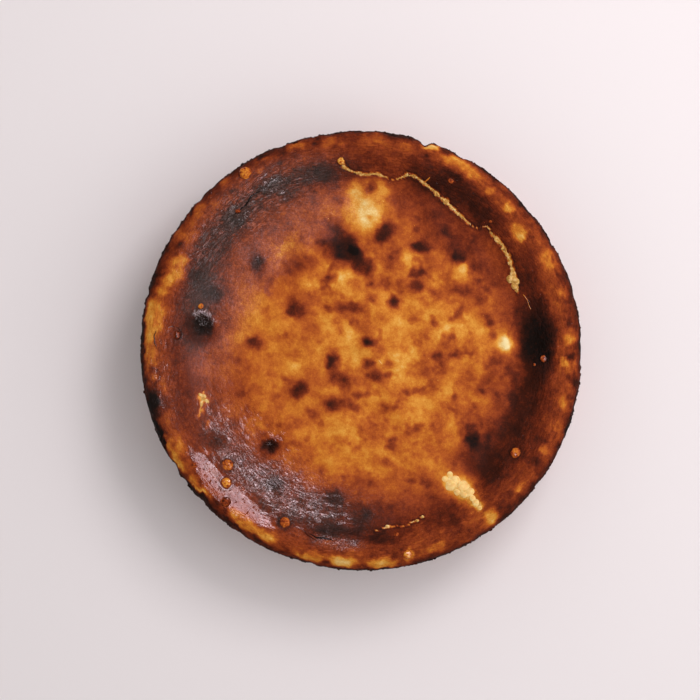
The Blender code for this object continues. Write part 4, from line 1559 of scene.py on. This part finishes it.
@dataclass
class CurdGrowth:
    """Curd that broke through: many grains grown together round a set of spots."""

    name: str
    form: CakeForm
    spots: list[tuple[float, float, float]]
    reach: list[float]
    grain: list[float]
    finish: bpy.types.Material
    grains_a_spot: int = 3
    smallest: float = 0.7
    largest: float = 1.2
    flatness: float = 0.2
    voxel: float = 0.17 * MM
    tone_size: float = 1.6 * MM
    tone_shift: float = 0.12
    tone_swing: float = 1.5
    press: float = 1.0
    seed: int = 4

    def seeds(self) -> bpy.types.Object:
        """The spots as points, each with how far its grains may lie from it."""
        return marked_mesh("curd_spots", self.spots, [], {"reach": self.reach, "grain": self.grain})

    def build(self) -> bpy.types.Object:
        """Grows the curd and returns it as one mesh."""
        growth = GrowthTree(self.name)
        amount = growth.size("Grains a Spot", self.grains_a_spot)
        low = growth.size("Smallest Share of Grain", self.smallest)
        high = growth.size("Largest Share of Grain", self.largest)
        voxel = growth.size("Voxel", self.voxel)
        seed = growth.size("Seed", self.seed)
        points = growth.node("GeometryNodeMeshToPoints", {"Mesh": growth.entry.outputs["Geometry"]})
        many = growth.node(
            "GeometryNodeDuplicateElements",
            {"Geometry": points.outputs[0], "Amount": amount},
            domain="POINT",
        )
        where = growth.node(
            "FunctionNodeRandomValue",
            {"Min": (-1.0, -1.0, -self.flatness), "Max": (1.0, 1.0, self.flatness), "Seed": seed},
            data_type="FLOAT_VECTOR",
        )
        offset = growth.scaled(where.outputs[0], growth.named("reach"))
        moved = growth.node("GeometryNodeSetPosition", {"Geometry": many.outputs[0], "Offset": offset})
        share = growth.node("FunctionNodeRandomValue", {2: low, 3: high, "Seed": seed}, data_type="FLOAT")
        radius = growth.maths("MULTIPLY", growth.named("grain"), share.outputs[1])
        cloud = growth.node(
            "GeometryNodePointsToVolume",
            {"Points": moved.outputs[0], "Voxel Size": voxel, "Radius": radius},
            resolution_mode="VOXEL_SIZE",
        )
        body = growth.node(
            "GeometryNodeVolumeToMesh",
            {"Volume": cloud.outputs[0], "Voxel Size": voxel, "Threshold": 0.1},
            resolution_mode="VOXEL_SIZE",
        )
        rough = growth.node("ShaderNodeTexNoise", {"Scale": 1 / self.tone_size, "Detail": 2.0})
        middle = 0.5 - 0.5 * self.tone_swing + self.tone_shift
        tone = growth.maths("MULTIPLY_ADD", rough.outputs["Fac"], self.tone_swing, middle)
        growth.close(growth.store(body.outputs[0], tone=tone), self.finish)
        made = growth.grow(self.seeds(), self.name)
        self.press_down(made.data)
        return made

    def press_down(self, data: bpy.types.Mesh) -> None:
        """Flattens the curd towards the skin, to a share of how far it stood out."""
        points = np.empty(3 * len(data.vertices))
        data.vertices.foreach_get("co", points)
        points = points.reshape(-1, 3)
        skin = self.form.skin_height(points[:, 0], points[:, 1])
        points[:, 2] = skin + self.press * (points[:, 2] - skin)
        data.vertices.foreach_set("co", points.ravel())
        data.update()


def lump_spots(form: CakeForm, lumps: tuple[tuple[float, float, float], ...], grains: int) -> tuple[list, list, list]:
    """Spots for smooth lumps of curd that stand half out of the skin.

    Args:
        form: The cake's form.
        lumps: Each lump as x, y and radius in millimetres.
        grains: How many times each spot is given.

    Returns:
        The spots, how far grains may lie from each, and how big the grains are.
    """
    spots, reach, grain = [], [], []
    for lump_x, lump_y, lump_radius in lumps:
        height = form.skin_height(np.array([lump_x * MM]), np.array([lump_y * MM]))[0]
        spots += [(lump_x * MM, lump_y * MM, height - 0.34 * lump_radius * MM)] * grains
        reach += [0.30 * lump_radius * MM] * grains
        grain += [0.72 * lump_radius * MM] * grains
    return spots, reach, grain


def split_curd(form: CakeForm, path: SplitPath, finish: bpy.types.Material) -> CurdGrowth:
    """The curd that shows in a split, sunk between its lips, with lumps where it welled up.

    Args:
        form: The cake's form.
        path: The split's path.
        finish: The curd's material.

    Returns:
        The growth, ready to build.
    """
    x, y = path.points.T
    spots, reach, grain = lump_spots(form, path.split.lumps, 3)
    spots += list(zip(x, y, form.skin_height(x, y) - 0.45 * MM))
    reach += [0.7 * half for half in path.half_widths]
    grain += [0.12 * MM + 0.38 * half for half in path.half_widths]
    name = f"{path.split.name}_curd"
    return CurdGrowth(name, form, spots, reach, grain, finish, tone_shift=path.split.toasting, press=0.8)


@dataclass
class Blisters:
    """The browned bubbles: low rough domes that stand in their own dark rings."""

    form: CakeForm
    finish: bpy.types.Material
    segments: int = 44
    rings: int = 20
    flatness: float = 0.55
    pimple: float = 0.36
    pimple_size: float = 1.5 * MM
    patchiness: float = 1.6
    sink: float = 0.45 * MM

    def seeds(self) -> bpy.types.Object:
        """One point for each blister, with its radius and its browning."""
        x = np.array([blister.x for blister in BLISTERS]) * MM
        y = np.array([blister.y for blister in BLISTERS]) * MM
        spots = list(zip(x, y, self.form.skin_height(x, y) - self.sink))
        sizes = [blister.radius * MM for blister in BLISTERS]
        tops = [blister.top.level for blister in BLISTERS]
        return marked_mesh("blister_spots", spots, [], {"size": sizes, "top": tops})

    def build(self) -> bpy.types.Object:
        """Builds all blisters as one piece."""
        growth = GrowthTree("blisters")
        segments = growth.size("Segments", self.segments)
        rings = growth.size("Rings", self.rings)
        pimple = growth.size("Pimple Height", self.pimple)
        patchiness = growth.size("Patchiness", self.patchiness)
        ball = growth.node("GeometryNodeMeshUVSphere", {"Segments": segments, "Rings": rings, "Radius": 1.0})
        dome = growth.node("GeometryNodeTransform", {"Geometry": ball.outputs[0], "Scale": (1.0, 1.0, self.flatness)})
        size = growth.named("size")
        points = growth.node("GeometryNodeMeshToPoints", {"Mesh": growth.entry.outputs["Geometry"]})
        placed = growth.node(
            "GeometryNodeInstanceOnPoints",
            {"Points": points.outputs[0], "Instance": dome.outputs[0], "Scale": size},
        )
        real = growth.node("GeometryNodeRealizeInstances", {"Geometry": placed.outputs[0]})
        rough = growth.node("ShaderNodeTexNoise", {"Scale": 1 / self.pimple_size, "Detail": 2.0})
        swing = growth.maths("SUBTRACT", rough.outputs["Fac"], 0.5)
        lift = growth.maths("MULTIPLY", growth.maths("MULTIPLY", swing, pimple), size)
        normal = growth.node("GeometryNodeInputNormal")
        offset = growth.scaled(normal.outputs[0], lift)
        shaped = growth.node("GeometryNodeSetPosition", {"Geometry": real.outputs[0], "Offset": offset})
        patches = growth.maths("MULTIPLY", growth.maths("ABSOLUTE", swing), patchiness)
        facing = growth.node("ShaderNodeSeparateXYZ", {"Vector": normal.outputs[0]})
        edge = growth.node(
            "ShaderNodeMapRange",
            {"Value": facing.outputs["Z"], "From Min": 0.85, "From Max": 0.2, "To Min": 0.0, "To Max": 0.3},
        )
        tone = growth.maths("ADD", growth.maths("ADD", growth.named("top"), edge.outputs[0]), patches)
        kept = growth.store(shaped.outputs[0], browning=tone, mottle=0.5, gloss=0.48, wrinkle=0.25)
        growth.close(kept, self.finish)
        return growth.grow(self.seeds(), "blisters")


@dataclass
class Threads:
    """The thin folds and hairlines: fine cords half sunk in the skin."""

    form: CakeForm
    finish: bpy.types.Material
    step: float = 0.5 * MM
    sway: float = 0.35 * MM
    sway_size: float = 2.5 * MM
    sink: float = 0.12 * MM

    def lines(self) -> bpy.types.Object:
        """The middle lines as edges, with their half width and browning."""
        spots, edges, widths, tones = [], [], [], []
        for thread in THREADS:
            corners = np.array(thread.route) * MM
            reach = np.concatenate(([0.0], np.cumsum(np.hypot(*np.diff(corners, axis=0).T))))
            steps = np.linspace(0, reach[-1], round(reach[-1] / self.step) + 2)
            x, y = (np.interp(steps, reach, corners[:, axis]) for axis in range(2))
            walk = np.column_stack([x, y, np.zeros(len(x))])
            x = x + self.sway * noise_at(walk, self.sway_size, 90.0)
            y = y + self.sway * noise_at(walk, self.sway_size, 95.0)
            first = len(spots)
            spots += list(zip(x, y, self.form.skin_height(x, y) - self.sink))
            edges += [(first + k, first + k + 1) for k in range(len(x) - 1)]
            fullness = np.sin(np.pi * np.linspace(0.04, 0.96, len(x))) ** 0.6
            widths += list(thread.half_width * MM * fullness)
            tones += [thread.browning.level] * len(x)
        return marked_mesh("thread_lines", spots, edges, {"half_width": widths, "browning": tones})

    def build(self) -> bpy.types.Object:
        """Builds all threads as one piece."""
        growth = GrowthTree("thin_folds")
        sides = growth.size("Sides", 8)
        curve = growth.node("GeometryNodeMeshToCurve", {"Mesh": growth.entry.outputs["Geometry"]})
        round_profile = growth.node("GeometryNodeCurvePrimitiveCircle", {"Resolution": sides, "Radius": 1.0})
        cord = growth.node(
            "GeometryNodeCurveToMesh",
            {
                "Curve": curve.outputs[0],
                "Profile Curve": round_profile.outputs[0],
                "Scale": growth.named("half_width"),
                "Fill Caps": True,
            },
        )
        kept = growth.store(cord.outputs[0], mottle=0.3, gloss=0.6, wrinkle=0.2)
        growth.close(kept, self.finish)
        return growth.grow(self.lines(), "thin_folds")


@dataclass
class Scatter:
    """Small bits that lie on the skin: char flakes, crumbs or beads of fat."""

    name: str
    where: str
    a_square_metre: float
    size_low: float
    size_high: float
    flatness: float
    skin: bpy.types.Object
    finish: bpy.types.Material
    seed: int
    detail: int = 2
    roughness: float = 0.5
    browning_shift: float = 0.0
    gloss: float = 0.4

    def build(self) -> bpy.types.Object:
        """Scatters the bits over a copy of the skin and returns them as one piece."""
        growth = GrowthTree(self.name)
        density = growth.size("Bits a Square Metre", self.a_square_metre)
        low = growth.size("Smallest Bit", self.size_low)
        high = growth.size("Largest Bit", self.size_high)
        seed = growth.size("Seed", self.seed)
        chance = growth.maths("MULTIPLY", growth.named(self.where), density)
        spots = growth.node(
            "GeometryNodeDistributePointsOnFaces",
            {"Mesh": growth.entry.outputs["Geometry"], "Density": chance, "Seed": seed},
        )
        ball = growth.node("GeometryNodeMeshIcoSphere", {"Radius": 0.5, "Subdivisions": self.detail})
        bit = growth.node("GeometryNodeTransform", {"Geometry": ball.outputs[0], "Scale": (1.0, 0.7, self.flatness)})
        spin = growth.node("FunctionNodeRandomValue", {2: 0.0, 3: 2 * math.pi, "Seed": seed}, data_type="FLOAT")
        turn = growth.node("FunctionNodeAxisAngleToRotation", {"Axis": (0.0, 0.0, 1.0), "Angle": spin.outputs[1]})
        facing = growth.node(
            "FunctionNodeRotateRotation",
            {"Rotation": spots.outputs["Rotation"], "Rotate By": turn.outputs[0]},
            rotation_space="LOCAL",
        )
        size = growth.node("FunctionNodeRandomValue", {2: low, 3: high, "Seed": seed}, data_type="FLOAT")
        placed = growth.node(
            "GeometryNodeInstanceOnPoints",
            {
                "Points": spots.outputs["Points"],
                "Instance": bit.outputs[0],
                "Rotation": facing.outputs[0],
                "Scale": size.outputs[1],
            },
        )
        real = growth.node("GeometryNodeRealizeInstances", {"Geometry": placed.outputs[0]})
        mean = 0.5 * (self.size_low + self.size_high)
        rough = growth.node("ShaderNodeTexNoise", {"Scale": 1.4 / mean, "Detail": 1.0})
        swing = growth.maths("SUBTRACT", rough.outputs["Fac"], 0.5)
        lift = growth.maths("MULTIPLY", swing, self.roughness * mean)
        offset = growth.scaled(growth.node("GeometryNodeInputNormal").outputs[0], lift)
        moved = growth.node("GeometryNodeSetPosition", {"Geometry": real.outputs[0], "Offset": offset})
        tone = growth.maths("ADD", growth.named("browning"), self.browning_shift)
        kept = growth.store(moved.outputs[0], browning=tone, mottle=0.4, gloss=self.gloss, wrinkle=0.1)
        growth.close(kept, self.finish)
        return growth.grow(put_mesh("skin_copy", self.skin.data.copy()), self.name)


@dataclass
class Studio:
    """A plain pale floor, soft light from the upper right and a camera straight above."""

    form: CakeForm
    camera_aside: tuple[float, float] = (-5.6 * MM, 0.4 * MM)
    field: float = 354.1 * MM
    lens: float = 160.0
    sensor: float = 36.0
    floor_size: float = 12.0
    floor_colour: str = "#E8E4E4"
    floor_roughness: float = 0.7
    card_colour: str = "#FFE2EE"
    room_colour: str = "#FFFBFB"
    room_strength: float = 0.55

    def camera(self) -> None:
        """Adds the camera at the photograph's viewing angle."""
        data = bpy.data.cameras.new("camera")
        data.lens, data.sensor_width = self.lens, self.sensor
        data.clip_start, data.clip_end = 0.01, 50.0
        camera = bpy.data.objects.new("camera", data)
        away = self.field * self.lens / self.sensor
        camera.location = (*self.camera_aside, self.form.rim_height + away)
        bpy.context.scene.collection.objects.link(camera)
        bpy.context.scene.camera = camera

    def floor(self) -> None:
        """Adds the floor, which isn't part of the cake."""
        mesh = bmesh.new()
        bmesh.ops.create_grid(mesh, x_segments=1, y_segments=1, size=self.floor_size / 2)
        data = bpy.data.meshes.new("floor")
        mesh.to_mesh(data)
        mesh.free()
        data.transform(Matrix.Translation((0, 0, -0.2 * MM)))
        material = bpy.data.materials.new("pale_floor")
        material.use_nodes = True
        surface = material.node_tree.nodes["Principled BSDF"]
        surface.inputs["Base Color"].default_value = linear(self.floor_colour)
        surface.inputs["Roughness"].default_value = self.floor_roughness
        data.materials.append(material)
        put_mesh("floor", data)

    def softbox(
        self,
        name: str,
        azimuth: float,
        elevation: float,
        away: float,
        size: float,
        power: float,
        colour: str = "#FFF8FA",
        shine_only: bool = False,
    ) -> None:
        """Adds a square soft light that faces the cake.

        Args:
            name: The light's name.
            azimuth: Its direction in degrees, anticlockwise from +X.
            elevation: Its height over the floor in degrees.
            away: Its distance from the cake.
            size: Its width.
            power: Its power in watts.
            colour: Its colour in sRGB.
            shine_only: Whether it only shows as shine, like a card that the fat mirrors.
        """
        data = bpy.data.lights.new(name, "AREA")
        data.shape, data.size, data.energy = "SQUARE", size, power
        data.color = linear(colour)[:3]
        light = bpy.data.objects.new(name, data)
        turn, tilt = math.radians(azimuth), math.radians(elevation)
        towards = Vector((math.cos(turn) * math.cos(tilt), math.sin(turn) * math.cos(tilt), math.sin(tilt)))
        light.location = towards * away
        light.rotation_euler = towards.to_track_quat("Z", "Y").to_euler()
        light.visible_camera = False
        light.visible_diffuse = not shine_only
        bpy.context.scene.collection.objects.link(light)

    def build(self) -> None:
        """Sets up the floor, the lights, the room and the camera."""
        scene = bpy.context.scene
        scene.view_settings.view_transform = "Standard"
        self.floor()
        self.softbox("key_softbox", azimuth=52, elevation=52, away=1.15, size=0.45, power=5.0)
        self.softbox("side_softbox", azimuth=-2, elevation=45, away=1.3, size=1.2, power=5.0)
        self.softbox("window_card", 46, 68, away=1.3, size=0.8, power=26.0, colour=self.card_colour, shine_only=True)
        self.softbox("sky_card", -30, 48, away=1.4, size=1.0, power=12.0, shine_only=True)
        world = bpy.data.worlds.new("room")
        world.use_nodes = True
        backdrop = world.node_tree.nodes["Background"]
        backdrop.inputs["Color"].default_value = linear(self.room_colour)
        backdrop.inputs["Strength"].default_value = self.room_strength
        scene.world = world
        world.cycles_visibility.glossy = False
        self.camera()


def hand_over(piece: bpy.types.Object, stands_for: str | None = None) -> None:
    """Rides a finished piece on the cake's body and reports it.

    Args:
        piece: The finished piece.
        stands_for: The frame's node that it stands for, if any.
    """
    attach(piece, BODY)
    if stands_for:
        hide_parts(stands_for)
    data = piece.data
    triangles = sum(len(face.vertices) - 2 for face in data.polygons)
    log.info("%s: %d triangles", piece.name, triangles)


def main() -> None:
    """Builds every piece in order round the frame."""
    logging.basicConfig(level=logging.INFO, format="%(name)s: %(message)s")
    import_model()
    low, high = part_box(NODE)
    log.info("frame's node spans %.1f by %.1f by %.1f mm", *((high - low) / MM))
    form = CakeForm()
    paths = [SplitPath(split) for split in SPLITS]
    crust = CrustFinish().make()
    curd = CurdFinish().make()
    warm_curd = CurdFinish("warm_curd", pale="#F7D68E", cream="#E4A850").make()
    skin = CakeSkin(form, paths, crust).build()
    scatters = (
        Scatter("rim_flakes", FLAKY, 9.0e4, 0.6 * MM, 2.0 * MM, 0.40, skin, crust, 3, roughness=0.9),
        Scatter("toasted_crumbs", CRUMBLY, 9.0e3, 0.25 * MM, 0.60 * MM, 0.7, skin, crust, 5, browning_shift=-0.16),
        Scatter("fat_beads", BEADED, 5.0e4, 0.30 * MM, 0.75 * MM, 0.45, skin, crust, 8, roughness=0.2, gloss=1.0),
    )
    bits = [scatter.build() for scatter in scatters]
    hand_over(skin, NODE)
    for piece in bits:
        hand_over(piece)
    hand_over(Blisters(form, crust).build())
    hand_over(Threads(form, crust).build())
    for path in paths:
        hand_over(split_curd(form, path, curd).build())
    lumps = lump_spots(form, CURD_LUMPS, 1)
    bare = CurdGrowth("curd_lumps", form, *lumps, warm_curd, largest=1.4, press=0.34, tone_shift=-0.38, tone_swing=0.8)
    hand_over(bare.build())
    Studio(form).build()


if __name__ == "__main__":
    main()
